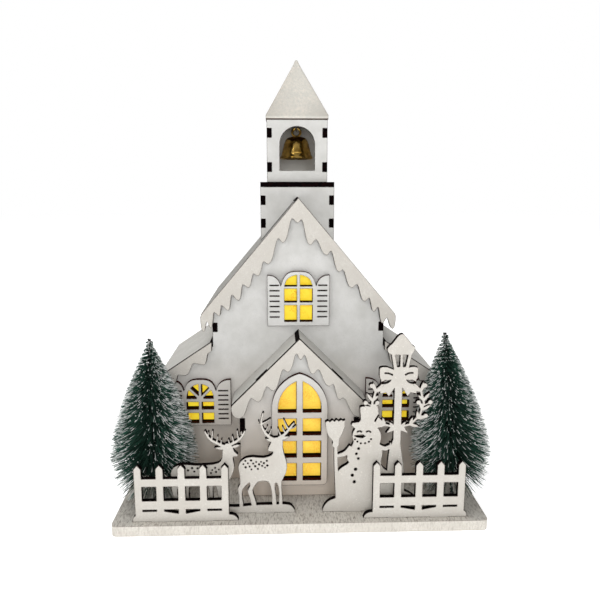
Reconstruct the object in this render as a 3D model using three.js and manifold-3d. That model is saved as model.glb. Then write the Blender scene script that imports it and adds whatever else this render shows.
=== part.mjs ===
// A light-up village church cut from thin painted board, with a bell in its belfry.
// Millimetres, +Z up. The front faces -Y and the origin is under the middle of the whole piece.
import * as THREE from 'three';
import { mergeVertices } from 'three/addons/utils/BufferGeometryUtils.js';
import Module from 'manifold-3d';

const wasm = await Module();
wasm.setup();

// Sheet and clearances
const board = 4;
const fit = 0.3;
const cutterReach = 1;

// Base board and the places on it, measured back from its front edge
const baseWidth = 280;
const baseDepth = 218;
const baseHeight = 8;
const baseCorner = 5;
const fenceSetback = 6;
const figureSetback = 16;
const treeSetback = 42;
const porchSetback = 38;
const naveSetback = 69;
const towerSetback = 98;
const footDepth = 5;
const footWidth = 14;

// Nave
const naveHalf = 70;
const naveDepth = 138;
const naveRidge = 244.3;
const navePitch = THREE.MathUtils.degToRad(49.7);
const naveEave = 9.2;
const naveRoofOverhang = 3;
const naveFinger = { low: 136.6, tall: 7.4 };
const naveTab = { near: 34, far: 43 };
const rearWindow = { half: 35, height: 31.5 };

// Wings, which lean against the nave
const wingHalf = 109;
const wingDepth = 104;
const wingTop = 129.3;
const wingPitch = THREE.MathUtils.degToRad(33.7);
const wingEave = 7;
const wingRoofOverhang = 3;
const wingFingers = [{ low: 30, tall: 8 }, { low: 70, tall: 8 }];

// Porch
const porchHalf = 47;
const porchRidge = 138.5;
const porchPitch = THREE.MathUtils.degToRad(45);
const porchEave = 6.3;
const porchTab = { near: 22.7, far: 30.7 };
const porchFingers = [{ low: 22, tall: 11 }, { low: 63, tall: 11 }];
const passage = { half: 34, low: 14, tall: 84 };

// Tower and belfry
const towerHalf = 30.5;
const towerTop = 252.8;
const towerFingers = [{ low: -33.3, tall: 7.2 }, { low: -14.5, tall: 7.4 }];
const belfryHalf = 25;
const belfryHeight = 50.2;
const belfryFingers = [{ low: 8.4, tall: 7.6 }, { low: 35.9, tall: 7.5 }];
const belfryArch = { half: 14.5, sill: 9.4, tall: 35.5 };
const steepleHalf = 25.7;
const steepleEdge = 3.5;
const steepleHeight = 51;
const steepleTip = 2.4;

// Windows and door
const filmThickness = 0.8;
const filmMargin = 1.6;
const upperWindow = {
  sill: 141.9, half: 25, corner: 41.5, notch: 32.7, notchHalf: 14.2, crown: 44.5,
  pane: 10.1, bar: 2.5, rows: [{ up: 3.5, tall: 13.6 }, { up: 19.5, tall: 11.1 }],
  arch: { up: 32.5, tall: 9.2 },
  louvre: { up: 7.1, pitch: 4.3, inner: 15.3 },
};
const wingWindow = {
  sill: 57.7, half: 25.35, corner: 39.3, notch: 29.8, notchHalf: 13.2, crown: 39.6,
  pane: 9.9, bar: 2.5, rows: [{ up: 2.1, tall: 8.8 }, { up: 14, tall: 6.4 }], arch: { up: 23.2, tall: 12.6 },
  louvre: { up: 5.5, pitch: 4, inner: 14.9 },
};
const louvreCount = 7;
const louvreGroove = { tall: 0.8, depth: 0.8, outer: 23.1, margin: 1.4 };
const fanHub = 3;
const fanBar = 2.2;
const door = {
  sill: 18.8, half: 21.9, spring: 64.2, crown: 92.5, corner: 4, frame: 5,
  pane: 14.4, bar: 4.9, rows: [{ up: 4.2, tall: 14.6 }, { up: 23.7, tall: 13.7 }, { up: 42.2, tall: 13.8 }],
  arch: { up: 61 },
};

// Bell
const bellRim = 14.3;
const bellHeight = 18.8;
const bellWall = 1.2;
const bellPivotDrop = 6.6;
const ringRadius = 3.5;
const ringWire = 1.1;
const hookWire = 0.7;
const clapperBall = 2.6;

// Picket fences
const fence = {
  middle: 88.1, pickets: 5, pitch: 15.95, width: 5.4, tip: 44.7, shoulder: 41.6,
  railTop: 34, window: { up: 16.6, tall: 11.2 }, slot: { top: 9.6, up: 8.2, wedge: 6.2 }, bank: 5,
  bankReach: { inner: 6.9, outer: 2.4 },
};

// Bottle-brush trees
const leftTree = { x: -114.6, lean: 0, reach: 36.4, height: 140.2, seed: 1 };
const rightTree = { x: 124.4, lean: -4.9, reach: 28.64, height: 143.8, seed: 2 };
const treeWire = 1.6;
const treeSkirt = 23;
const treeBands = 31;
const treeFacets = 8;
const treeSocket = 6;
const treeSpread = 0.85;
const treeTip = 2.2;

// Light unit behind the rear opening
const cellDiameter = 10.5;
const cellLength = 44.5;
const caseWall = 1.5;
const caseHeight = 28;
const caseDepth = 16;
const caseLength = 62;
const switchBay = 11;
const coverThickness = 1.4;
const railLip = 1.2;
const lampDisc = { radius: 11, height: 1.6, y: 32 };
const lampBulb = { radius: 2.5, height: 8.6 };
const leadHoleSide = 2.6;

// Places worked out from the sizes above
const frontEdge = -baseDepth / 2;
const ground = baseHeight;
const fenceY = frontEdge + fenceSetback;
const figureY = frontEdge + figureSetback;
const treeY = frontEdge + treeSetback;
const porchTrimY = frontEdge + porchSetback;
const porchY = porchTrimY + board;
const naveTrimY = frontEdge + naveSetback;
const naveY = naveTrimY + board;
const naveBackY = naveY + naveDepth;
const wingBackY = naveY + wingDepth;
const towerY = frontEdge + towerSetback;
const belfryLow = towerTop + board;
const belfryTop = belfryLow + belfryHeight;
const above = (datum, list) => list.map(({ low, tall }) => ({ low: datum + low, tall }));
const towerMidY = towerY + towerHalf;

// Finishes
function finish(color, roughness, metalness = 0) {
  return new THREE.MeshStandardMaterial({ color, roughness, metalness });
}

const paintedBoard = finish('#cbc9c5', 0.72);
const snowyBoard = finish('#dcd7cf', 0.9);
const roofBoard = finish('#bdbcb8', 0.85);
const burntBoard = finish('#2a1c1a', 0.85);
const glowFilm = finish('#f5c745', 0.6);
const brass = finish('#8a6a34', 0.35, 1);
const steelWire = finish('#8d8d8a', 0.4, 1);
const bristle = finish('#2f4237', 0.9);
const whitePlastic = finish('#e6e3dc', 0.5);
const copperTin = finish('#b8b2a4', 0.35, 1);
const cellJacket = finish('#5a5f63', 0.45, 0.4);

const church = new THREE.Group();
church.name = 'village_church';

// From geometry to solid and back
function toSolid(geometry) {
  geometry.deleteAttribute('normal');
  geometry.deleteAttribute('uv');
  const merged = mergeVertices(geometry, 1e-4);
  const vertProperties = new Float32Array(merged.attributes.position.array);
  const triVerts = new Uint32Array(merged.index.array);
  return new wasm.Manifold(new wasm.Mesh({ numProp: 3, vertProperties, triVerts }));
}

function addPart(name, body, material, parent = church) {
  const { vertProperties, triVerts } = body.getMesh();
  const geometry = new THREE.BufferGeometry();
  geometry.setAttribute('position', new THREE.BufferAttribute(new Float32Array(vertProperties), 3));
  geometry.setIndex(new THREE.BufferAttribute(new Uint32Array(triVerts), 1));
  geometry.computeVertexNormals();
  const mesh = new THREE.Mesh(geometry, material);
  mesh.name = name;
  parent.add(mesh);
  return mesh;
}

// Extrusions along each axis, with their corners placed exactly
function extrude(shape, depth, place, curveSegments = 6) {
  const geometry = new THREE.ExtrudeGeometry(shape, { depth, bevelEnabled: false, curveSegments });
  const corners = geometry.attributes.position;
  for (let i = 0; i < corners.count; i += 1) {
    corners.setXYZ(i, ...place(corners.getX(i), corners.getY(i), corners.getZ(i)));
  }
  return toSolid(geometry);
}

const upright = (shape, y, depth = board) => extrude(shape, depth, (a, b, c) => [a, y + depth - c, b]);
const flat = (shape, z, depth) => extrude(shape, depth, (a, b, c) => [a, b, z + c]);
const outline = (list) => new THREE.Shape(list.map(([x, y]) => new THREE.Vector2(x, y)));

function block([x0, x1], [y0, y1], [z0, z1]) {
  const geometry = new THREE.BoxGeometry(1, 1, 1);
  const corners = geometry.attributes.position;
  for (let i = 0; i < corners.count; i += 1) {
    const x = corners.getX(i) < 0 ? x0 : x1;
    const y = corners.getY(i) < 0 ? y0 : y1;
    const z = corners.getZ(i) < 0 ? z0 : z1;
    corners.setXYZ(i, x, y, z);
  }
  return toSolid(geometry);
}

const joinAll = (bodies) => bodies.reduce((whole, body) => whole.add(body));
const cutAll = (body, cutters) => cutters.reduce((left, cutter) => left.subtract(cutter), body);
const mirrored = (range, side) => (side < 0 ? [-range[1], -range[0]] : range);
const sides = [['left', -1], ['right', 1]];

// A closed outline drawn smoothly through a few points
function smooth(list, steps = 2) {
  const corners = list.map(([x, y]) => new THREE.Vector3(x, y, 0));
  const curve = new THREE.CatmullRomCurve3(corners, true, 'centripetal');
  const walk = curve.getPoints(list.length * steps).slice(0, -1);
  return new THREE.Shape(walk.map((point) => new THREE.Vector2(point.x, point.y)));
}

// A stroke of changing width along a curved line, with a blunt end
function stroke(list, startWidth, endWidth, steps = 5) {
  const curve = new THREE.SplineCurve(list.map(([x, y]) => new THREE.Vector2(x, y)));
  const near = [];
  const far = [];
  for (let i = 0; i <= steps; i += 1) {
    const at = curve.getPoint(i / steps);
    const along = curve.getTangent(i / steps);
    const half = THREE.MathUtils.lerp(startWidth, endWidth, i / steps) / 2;
    near.push(new THREE.Vector2(at.x - along.y * half, at.y + along.x * half));
    far.unshift(new THREE.Vector2(at.x + along.y * half, at.y - along.x * half));
  }
  return new THREE.Shape([...near, ...far]);
}

// A pointed leaf, from its stalk at (x, z), growing at an angle
function leaf(x, z, length, width, angle) {
  const shape = [[0, -0.3], [0.3, -0.5], [0.65, -0.38], [1, 0], [0.65, 0.38], [0.3, 0.5], [0, 0.3]];
  const turned = shape.map(([u, v]) => {
    const along = u * length;
    const across = v * width;
    return [
      x + along * Math.cos(angle) - across * Math.sin(angle),
      z + along * Math.sin(angle) + across * Math.cos(angle),
    ];
  });
  return outline(turned);
}

function disc(x, z, radius, count = 10) {
  const rim = [];
  for (let i = 0; i < count; i += 1) {
    const turn = (2 * Math.PI * i) / count;
    rim.push([x + radius * Math.cos(turn), z + radius * Math.sin(turn)]);
  }
  return outline(rim);
}

// The section across a gable roof. The right panel laps over the left one at the ridge.
function gable(ridge, pitch, reach) {
  const slope = Math.tan(pitch);
  const across = board * Math.sin(pitch);
  const down = board * Math.cos(pitch);
  const lift = fit / Math.cos(pitch);
  const top = (x) => ridge - Math.abs(x) * slope;
  const under = (x) => top(x) - board / Math.cos(pitch);
  const seat = (x) => under(x) - lift;
  const eave = top(reach);
  const lap = [-across, ridge - down];
  const butt = -fit / (2 * Math.sin(pitch));
  const inner = [butt, under(butt)];
  const crown = [inner[0] - across, inner[1] + down];
  const right = outline([[0, ridge], [reach, eave], [reach - across, eave - down], lap]);
  const left = outline([crown, [-reach, eave], [-reach + across, eave - down], inner]);
  const far = reach * 1.5;
  const raised = [[-far, top(far)], crown, lap, [0, ridge], [far, top(far)]].map(([x, z]) => [x, z + lift]);
  const crest = outline([...raised, [far, top(far) - far], [-far, top(far) - far]]);
  return { pitch, top, seat, left, right, crest, reach };
}

// The section of a roof panel that leans against an upright wall
function leanTo(wallX, topZ, pitch, reach) {
  const slope = Math.tan(pitch);
  const across = board * Math.sin(pitch);
  const down = board * Math.cos(pitch);
  const top = (x) => topZ - (Math.abs(x) - wallX) * slope;
  const seat = (x) => top(x) - (board + fit) / Math.cos(pitch);
  const start = wallX + fit + across;
  const panel = (side) => outline([
    [side * start, top(start)],
    [side * reach, top(reach)],
    [side * (reach - across), top(reach) - down],
    [side * (start - across), top(start) - down],
  ]);
  return { pitch, top, seat, panel, reach };
}

const naveRoof = gable(naveRidge, navePitch, naveHalf + naveEave);
const porchRoof = gable(porchRidge, porchPitch, porchHalf + porchEave);
const wingRoof = leanTo(naveHalf, wingTop, wingPitch, wingHalf + wingEave);

// A tab that stands square out of a sloping wall edge, and the slot that takes it
function slopeTab(roof, tab, side, grow) {
  const across = Math.sin(roof.pitch);
  const rise = Math.cos(roof.pitch);
  const near = tab.near - grow * rise;
  const far = tab.far + grow * rise;
  const low = -0.5 - grow;
  const high = board + fit + grow;
  const at = (x, lift) => [side * (x + across * lift), roof.seat(x) + rise * lift];
  return outline([at(near, low), at(far, low), at(far, high), at(near, high)]);
}

function tabbedWall(wall, roof, tab, y) {
  return joinAll([wall, ...sides.map(([, side]) => upright(slopeTab(roof, tab, side, 0), y))]);
}

function roofPanel(roof, tab, section, side, y, depth) {
  const panel = upright(section, y, depth);
  const slot = upright(slopeTab(roof, tab, side, fit), y - cutterReach, board + fit + cutterReach);
  return panel.subtract(slot);
}

// Finger joints between a facing panel and the walls behind it
function fingerBlocks(outerX, fingers, y) {
  return fingers.flatMap(({ low, tall }) => sides.map(([, side]) => (
    block(mirrored([outerX - board, outerX], side), [y, y + board], [low, low + tall])
  )));
}

function sideWall(outerX, side, [y0, y1], [z0, z1], fingers, tabYs) {
  const x = mirrored([outerX - board, outerX], side);
  const tabs = tabYs.flatMap((y) => fingers.map(({ low, tall }) => block(x, y, [low, low + tall])));
  return joinAll([block(x, [y0, y1], [z0, z1]), ...tabs]);
}

// Base board, with slots and holes for what stands in it
function footSlot([x0, x1], y) {
  const height = [ground - footDepth - fit, ground + cutterReach];
  return block([x0 - fit, x1 + fit], [y - fit, y + board + fit], height);
}

function foot([x0, x1], y) {
  return block([x0, x1], [y, y + board], [ground - footDepth, ground + cutterReach]);
}

const fenceFeet = sides.flatMap(([, side]) => [-1, 1].map((end) => {
  const middle = side * (fence.middle + end * fence.pitch);
  return [middle - footWidth / 2, middle + footWidth / 2];
}));
const reindeerFeet = [[-92, -78], [-34, -20]];
const snowmanFeet = [[32, 46], [70, 84]];

// What stands round the trees: how far it is, in front or behind, and where it ends towards the outside
const fenceEnd = fence.middle + ((fence.pickets - 1) * fence.pitch + fence.width) / 2 + fence.bankReach.outer;
const aroundTree = [
  { away: figureY + board + fit - treeY, end: wingHalf + fit },
  { away: fenceY + board + fit - treeY, end: fenceEnd + fit },
  { away: naveTrimY - fit - treeY, end: wingHalf + fit },
];

// A bristle is bent aside, so it ends short of what stands in its way
function freeLength(x, turn, length) {
  const inWay = aroundTree.filter(({ away, end }) => (
    away * Math.sin(turn) > 0 && Math.abs(x + length * Math.cos(turn)) < end
  ));
  return Math.min(length, ...inWay.map(({ away }) => away / Math.sin(turn)));
}

function treePlace({ x, lean }) {
  const place = new THREE.Group();
  place.position.set(x, treeY, ground - treeSocket);
  place.rotation.y = THREE.MathUtils.degToRad(lean);
  place.updateMatrix();
  return place;
}

function treeHole(tree) {
  const geometry = new THREE.CylinderGeometry(treeWire + fit, treeWire + fit, treeSocket * 4, treeFacets * 2);
  geometry.rotateX(Math.PI / 2);
  geometry.translate(0, 0, treeSocket * 2 - fit);
  geometry.applyMatrix4(treePlace(tree).matrix);
  return toSolid(geometry);
}

function makeBase() {
  const x = baseWidth / 2;
  const y = baseDepth / 2;
  const plan = new THREE.Shape();
  plan.moveTo(-x + baseCorner, -y);
  plan.lineTo(x - baseCorner, -y);
  plan.quadraticCurveTo(x, -y, x, -y + baseCorner);
  plan.lineTo(x, y - baseCorner);
  plan.quadraticCurveTo(x, y, x - baseCorner, y);
  plan.lineTo(-x + baseCorner, y);
  plan.quadraticCurveTo(-x, y, -x, y - baseCorner);
  plan.lineTo(-x, -y + baseCorner);
  plan.quadraticCurveTo(-x, -y, -x + baseCorner, -y);
  const slots = [
    ...fenceFeet.map((span) => footSlot(span, fenceY)),
    ...[...reindeerFeet, ...snowmanFeet].map((span) => footSlot(span, figureY)),
    ...[leftTree, rightTree].map(treeHole),
  ];
  addPart('base_board', cutAll(flat(plan, 0, baseHeight), slots), snowyBoard);
}

// Window panes, cut alike through the trim and the wall behind it
const paneReach = (window) => window.bar / 2 + window.pane;
const archSill = (window) => window.sill + window.arch.up;

function archPane(window, side) {
  const outer = paneReach(window);
  const steps = 6;
  const rim = [];
  for (let i = 0; i <= steps; i += 1) {
    const x = THREE.MathUtils.lerp(outer, window.bar / 2, i / steps);
    rim.push([side * x, archSill(window) + Math.sqrt(1 - (x / outer) ** 2) * window.arch.tall]);
  }
  return outline([[side * window.bar / 2, archSill(window)], ...rim]);
}

function fanLight(window, y, depth) {
  const outer = paneReach(window);
  const bars = [45, 90, 135].map((degrees) => {
    const turn = THREE.MathUtils.degToRad(degrees);
    const end = [window.x + 2 * outer * Math.cos(turn), archSill(window) + 2 * outer * Math.sin(turn)];
    return upright(stroke([[window.x, archSill(window) - fit], end], fanBar, fanBar, 1), y - 1, depth + 2);
  });
  const half = new THREE.Shape();
  half.absellipse(window.x, archSill(window), outer, window.arch.tall, 0, Math.PI, false, 0);
  const hub = upright(disc(window.x, archSill(window), fanHub), y - 1, depth + 2);
  return cutAll(upright(half, y, depth), [...bars, hub]);
}

function paneCutters(window, y, depth) {
  const columns = sides.map(([, side]) => mirrored([window.bar / 2, paneReach(window)], side));
  return window.rows.flatMap(({ up, tall }) => columns.map(([from, to]) => (
    block([window.x + from, window.x + to], [y, y + depth], [window.sill + up, window.sill + up + tall])
  )));
}

// The curved top of a shutter, as a drop below its outer corner
function shutterTop(window, out) {
  const span = window.half - window.notchHalf;
  const share = THREE.MathUtils.clamp((window.half - out) / span, 0, 1);
  return window.corner - (window.corner - window.notch) * share ** 2;
}

function louvres(window) {
  const { up, pitch, inner } = window.louvre;
  const { tall, depth, outer, margin } = louvreGroove;
  const grooves = [];
  for (let i = 0; i < louvreCount; i += 1) {
    const low = up + i * pitch;
    let from = inner;
    while (shutterTop(window, from) < low + tall + margin && from < outer) from += 0.5;
    const z = [window.sill + low, window.sill + low + tall];
    const y = [naveTrimY - cutterReach, naveTrimY + depth];
    if (outer - from > 2 * tall) {
      for (const [, side] of sides) {
        const [x0, x1] = mirrored([from, outer], side);
        grooves.push(block([window.x + x0, window.x + x1], y, z));
      }
    }
  }
  return grooves;
}

function shutteredTrim(window) {
  const shape = new THREE.Shape();
  const { x, half, notchHalf, sill } = window;
  const corner = sill + window.corner;
  const notch = sill + window.notch;
  const crown = sill + window.crown;
  shape.moveTo(x - half, sill);
  shape.lineTo(x + half, sill);
  shape.lineTo(x + half, corner);
  shape.quadraticCurveTo(x + notchHalf * 1.14, corner, x + notchHalf, notch);
  shape.bezierCurveTo(x + notchHalf * 0.82, crown, x + notchHalf * 0.42, crown, x, crown);
  shape.bezierCurveTo(x - notchHalf * 0.42, crown, x - notchHalf * 0.82, crown, x - notchHalf, notch);
  shape.quadraticCurveTo(x - notchHalf * 1.14, corner, x - half, corner);
  shape.lineTo(x - half, sill);
  return cutAll(upright(shape, naveTrimY), louvres(window));
}

function filmBehind(window, y, crown) {
  const half = paneReach(window) + filmMargin;
  const low = window.sill + window.rows[0].up - filmMargin;
  const reach = [Math.abs(window.x) - half, Math.abs(window.x) + half];
  const x = window.x === 0 ? reach : mirrored([Math.max(reach[0], naveHalf), reach[1]], Math.sign(window.x));
  return block(x, [y, y + filmThickness], [low, crown + filmMargin]);
}

const throughBoth = 2 * board + 2 * cutterReach;
const upperAt = { ...upperWindow, x: 0 };
const upperPanes = [
  ...paneCutters(upperAt, naveTrimY - cutterReach, throughBoth),
  ...sides.map(([, side]) => upright(archPane(upperAt, side), naveTrimY - cutterReach, throughBoth)),
];
const wingWindowX = naveHalf + paneReach(wingWindow) + 0.05;
const wingWindows = sides.map(([name, side]) => ({ ...wingWindow, x: side * wingWindowX, name }));
const wingPanes = wingWindows.map((window) => [
  ...paneCutters(window, naveTrimY - cutterReach, throughBoth),
  fanLight(window, naveTrimY - cutterReach, throughBoth),
]);
const doorAt = { ...door, x: 0 };

// The pointed door: its arcs are struck from centres on the springing line
function doorShape(inset) {
  const half = door.half - inset;
  const rise = door.crown - door.spring;
  const radius = (door.half ** 2 + rise ** 2) / (2 * door.half) - inset;
  const centre = radius - half;
  const turn = Math.acos(centre / radius);
  return { half, radius, centre, turn, springZ: door.sill + door.spring };
}

function doorTrim() {
  const { half, radius, centre, turn, springZ } = doorShape(0);
  const { sill, corner } = door;
  const shape = new THREE.Shape();
  shape.moveTo(-half + corner, sill);
  shape.lineTo(half - corner, sill);
  shape.quadraticCurveTo(half, sill, half, sill + corner);
  shape.absarc(-centre, springZ, radius, 0, turn, false);
  shape.absarc(centre, springZ, radius, Math.PI - turn, Math.PI, false);
  shape.lineTo(-half, sill + corner);
  shape.quadraticCurveTo(-half, sill, -half + corner, sill);
  return upright(shape, porchTrimY);
}

function doorPointedPane(side) {
  const { half, radius, centre, springZ } = doorShape(door.frame);
  const inner = door.bar / 2;
  const turn = Math.acos((centre + inner) / radius);
  const steps = 6;
  const rim = [];
  for (let i = 0; i <= steps; i += 1) {
    const at = (turn * i) / steps;
    rim.push([side * (radius * Math.cos(at) - centre), springZ + radius * Math.sin(at)]);
  }
  return outline([[side * inner, archSill(door)], [side * half, archSill(door)], ...rim]);
}

const doorPanes = [
  ...paneCutters(doorAt, porchTrimY - cutterReach, throughBoth),
  ...sides.map(([, side]) => upright(doorPointedPane(side), porchTrimY - cutterReach, throughBoth)),
];

// Icicle trim. Going out from the middle, the edge falls steeply from each notch, rounds the tip of the drop
// and climbs to the next notch. A stretch that is drawn inwards has the same curve, walked backwards.
function drawDrops(shape, line) {
  for (let i = 1; i < line.length; i += 1) {
    const from = line[i - 1];
    const to = line[i];
    const outward = Math.abs(to[0]) > Math.abs(from[0]);
    const [near, far] = outward ? [from, to] : [to, from];
    const dx = far[0] - near[0];
    const dz = far[1] - near[1];
    const falls = dz < 0;
    const first = falls ? [near[0] + 0.3 * dx, near[1] + 0.05 * dz] : [near[0] + 0.5 * dx, near[1]];
    const second = falls ? [near[0] + 0.45 * dx, far[1]] : [far[0] - 0.3 * dx, far[1]];
    const [one, two] = outward ? [first, second] : [second, first];
    shape.bezierCurveTo(...one, ...two, ...to);
  }
}

// Each drop point is its distance out from the middle and its distance below the roof line
function icicleTrim(roof, drops, y) {
  const stretch = roof.reach / drops.reach;
  const place = (side) => ([x, drop]) => [side * x * stretch, roof.top(x * stretch) - drop];
  const shape = new THREE.Shape();
  const right = drops.right.map(place(1));
  const left = drops.left.map(place(-1)).reverse();
  const middle = place(1)(drops.middle);
  const end = { x: roof.reach, z: roof.top(roof.reach) };
  const shoulder = end.x - drops.round;
  shape.moveTo(0, roof.top(0));
  shape.lineTo(-shoulder, roof.top(shoulder));
  shape.quadraticCurveTo(-end.x, end.z, -end.x, end.z - drops.round);
  shape.quadraticCurveTo(-end.x, left[0][1], ...left[0]);
  drawDrops(shape, [...left, middle, ...right]);
  shape.quadraticCurveTo(end.x, right[right.length - 1][1], end.x, end.z - drops.round);
  shape.quadraticCurveTo(end.x, end.z, shoulder, roof.top(shoulder));
  shape.lineTo(0, roof.top(0));
  return extrude(shape, board, (a, b, c) => [a, y + board - c, b], 5);
}

const naveDrops = {
  reach: 79.2, round: 2,
  middle: [-0.5, 18.8],
  left: [[5, 10.1], [12, 20.9], [16, 12.7], [23.8, 24], [27.7, 17.4], [32, 23.7], [36, 17.2], [39.7, 24],
    [44.5, 15.9], [47.7, 25.1], [53.5, 13.6], [56.2, 23.1], [62, 12], [63.5, 19.1], [67.9, 10.8],
    [70.6, 20.6], [73.9, 11.4], [76.6, 16.4]],
  right: [[2.5, 14], [9, 26.4], [14, 16], [22.4, 18.6], [26, 11], [32.3, 20.5], [35.5, 14.8], [42.5, 21.3],
    [47.2, 12.9], [53.2, 19.9], [57.2, 12.3], [61, 19.2], [64.6, 11.2], [68, 20.6], [72, 11.4],
    [76.6, 15.2]],
};
const porchDrops = {
  reach: 53.3, round: 1.4,
  middle: [0.8, 15.5],
  left: [[2.5, 9], [8.7, 17.4], [12.7, 11.1], [20.2, 20.8], [25.4, 12.1], [32, 17.9], [37.6, 9.2],
    [46.5, 16.8]],
  right: [[3.7, 8.8], [10, 17.8], [14.4, 9.7], [22.6, 15.1], [25.9, 10.1], [30.8, 17.9], [33.8, 13.4],
    [45.5, 17.5]],
};
const wingDrops = {
  reach: 46,
  points: [[0.7, 7.5], [3.6, 7.3], [6.8, 14.9], [15.6, 7.7], [22.6, 13.4], [28.5, 8.8], [31.3, 13.9],
    [38, 9.4], [43.2, 10]],
};

function wingTrim(side) {
  const stretch = (wingRoof.reach - naveHalf) / wingDrops.reach;
  const points = wingDrops.points.map(([out, drop]) => {
    const x = naveHalf + out * stretch;
    return [side * x, wingRoof.top(x) - drop];
  });
  const start = Math.abs(points[0][0]);
  const end = { x: side * wingRoof.reach, z: wingRoof.top(wingRoof.reach) };
  const last = points[points.length - 1];
  const shape = new THREE.Shape();
  shape.moveTo(side * start, wingRoof.top(start));
  shape.lineTo(...points[0]);
  drawDrops(shape, points);
  shape.quadraticCurveTo(end.x, last[1], end.x, end.z);
  shape.lineTo(side * start, wingRoof.top(start));
  return extrude(shape, board, (a, b, c) => [a, naveTrimY + board - c, b], 5);
}

// Walls, roofs and trim of the nave, wings and porch
function makeNave() {
  const innerY = [naveY + board, naveBackY - board];
  const wall = outline([
    [-wingHalf, ground], [wingHalf, ground], [wingHalf, wingRoof.seat(wingHalf)],
    [naveHalf, wingRoof.seat(naveHalf)], [naveHalf, naveRoof.seat(naveHalf)], [0, naveRoof.seat(0)],
    [-naveHalf, naveRoof.seat(naveHalf)], [-naveHalf, wingRoof.seat(naveHalf)],
    [-wingHalf, wingRoof.seat(wingHalf)],
  ]);
  const front = tabbedWall(upright(wall, naveY), naveRoof, naveTab, naveY);
  const lightPassage = block([-passage.half, passage.half], [naveY - 1, naveY + board + 1],
    [passage.low, passage.low + passage.tall]);
  addPart('front_wall', cutAll(front, [
    ...upperPanes, ...wingPanes.flat(), lightPassage,
    ...fingerBlocks(naveHalf, [naveFinger], naveY),
    ...fingerBlocks(wingHalf, wingFingers, naveY),
  ]), paintedBoard);

  const gableEnd = outline([
    [-naveHalf, ground], [naveHalf, ground], [naveHalf, naveRoof.seat(naveHalf)], [0, naveRoof.seat(0)],
    [-naveHalf, naveRoof.seat(naveHalf)],
  ]);
  const rearCut = block([-rearWindow.half, rearWindow.half], [naveBackY - board - 1, naveBackY + 1],
    [ground - 1, ground + rearWindow.height]);
  addPart('back_wall', cutAll(upright(gableEnd, naveBackY - board), [
    rearCut, ...fingerBlocks(naveHalf, [naveFinger], naveBackY - board),
  ]), paintedBoard);

  const roofDepth = naveDepth + naveRoofOverhang;
  for (const [name, side] of sides) {
    const ends = [[naveY, innerY[0]], [innerY[1], naveBackY]];
    const height = [ground, naveRoof.seat(naveHalf)];
    addPart(`nave_wall_${name}`, sideWall(naveHalf, side, innerY, height, [naveFinger], ends), paintedBoard);
    const panel = roofPanel(naveRoof, naveTab, naveRoof[name], side, naveY, roofDepth);
    addPart(`main_roof_${name}`, panel, roofBoard);
  }
  addPart('main_fascia', icicleTrim(naveRoof, naveDrops, naveTrimY), snowyBoard);
}

function makeWings() {
  const innerY = [naveY + board, wingBackY - board];
  for (const [name, side] of sides) {
    const height = [ground, wingRoof.seat(wingHalf)];
    const wall = sideWall(wingHalf, side, innerY, height, wingFingers,
      [[naveY, innerY[0]], [innerY[1], wingBackY]]);
    addPart(`wing_wall_${name}`, wall, paintedBoard);
    const back = outline([
      [side * naveHalf, ground], [side * wingHalf, ground], [side * wingHalf, wingRoof.seat(wingHalf)],
      [side * naveHalf, wingRoof.seat(naveHalf)],
    ]);
    addPart(`wing_back_${name}`, cutAll(upright(back, wingBackY - board),
      fingerBlocks(wingHalf, wingFingers, wingBackY - board)), paintedBoard);
    const roof = upright(wingRoof.panel(side), naveY, wingDepth + wingRoofOverhang);
    addPart(`wing_roof_${name}`, roof, roofBoard);
    addPart(`wing_fascia_${name}`, wingTrim(side), snowyBoard);
  }
}

function makePorch() {
  const wall = outline([
    [-porchHalf, ground], [porchHalf, ground], [porchHalf, porchRoof.seat(porchHalf)],
    [0, porchRoof.seat(0)], [-porchHalf, porchRoof.seat(porchHalf)],
  ]);
  const front = tabbedWall(upright(wall, porchY), porchRoof, porchTab, porchY);
  addPart('porch_front_wall', cutAll(front, [
    ...doorPanes, ...fingerBlocks(porchHalf, porchFingers, porchY),
  ]), paintedBoard);
  for (const [name, side] of sides) {
    const height = [ground, porchRoof.seat(porchHalf)];
    addPart(`porch_wall_${name}`, sideWall(porchHalf, side, [porchY + board, naveY], height, porchFingers,
      [[porchY, porchY + board]]), paintedBoard);
    const panel = roofPanel(porchRoof, porchTab, porchRoof[name], side, porchY, naveY - porchY);
    addPart(`porch_roof_${name}`, panel, roofBoard);
  }
  addPart('porch_fascia', icicleTrim(porchRoof, porchDrops, porchTrimY), snowyBoard);
}

// Window trims stop short of the icicles that hang over them
function clearOf(body, cutter) {
  const shifts = [[0, 0], [0, -fit], [-fit, 0], [fit, 0]];
  return cutAll(body, shifts.map(([x, z]) => cutter.translate([x, 0, z])));
}

function makeWindows() {
  const crown = (window) => archSill(window) + window.arch.tall;
  const icicles = icicleTrim(naveRoof, naveDrops, naveTrimY);
  const upperTrim = clearOf(cutAll(shutteredTrim(upperAt), upperPanes), icicles);
  addPart('upper_window_frame', upperTrim, paintedBoard);
  addPart('upper_window_film', filmBehind(upperAt, naveY + board, crown(upperAt)), glowFilm);
  wingWindows.forEach((window, i) => {
    const side = sides[i][1];
    const trim = clearOf(cutAll(shutteredTrim(window), wingPanes[i]), wingTrim(side));
    addPart(`wing_window_frame_${window.name}`, trim, paintedBoard);
    addPart(`wing_window_film_${window.name}`, filmBehind(window, naveY + board, crown(window)), glowFilm);
  });
  addPart('door_frame', cutAll(doorTrim(), doorPanes), paintedBoard);
  addPart('door_film', filmBehind(doorAt, porchY + board, door.sill + door.crown - door.frame), glowFilm);
}

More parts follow.
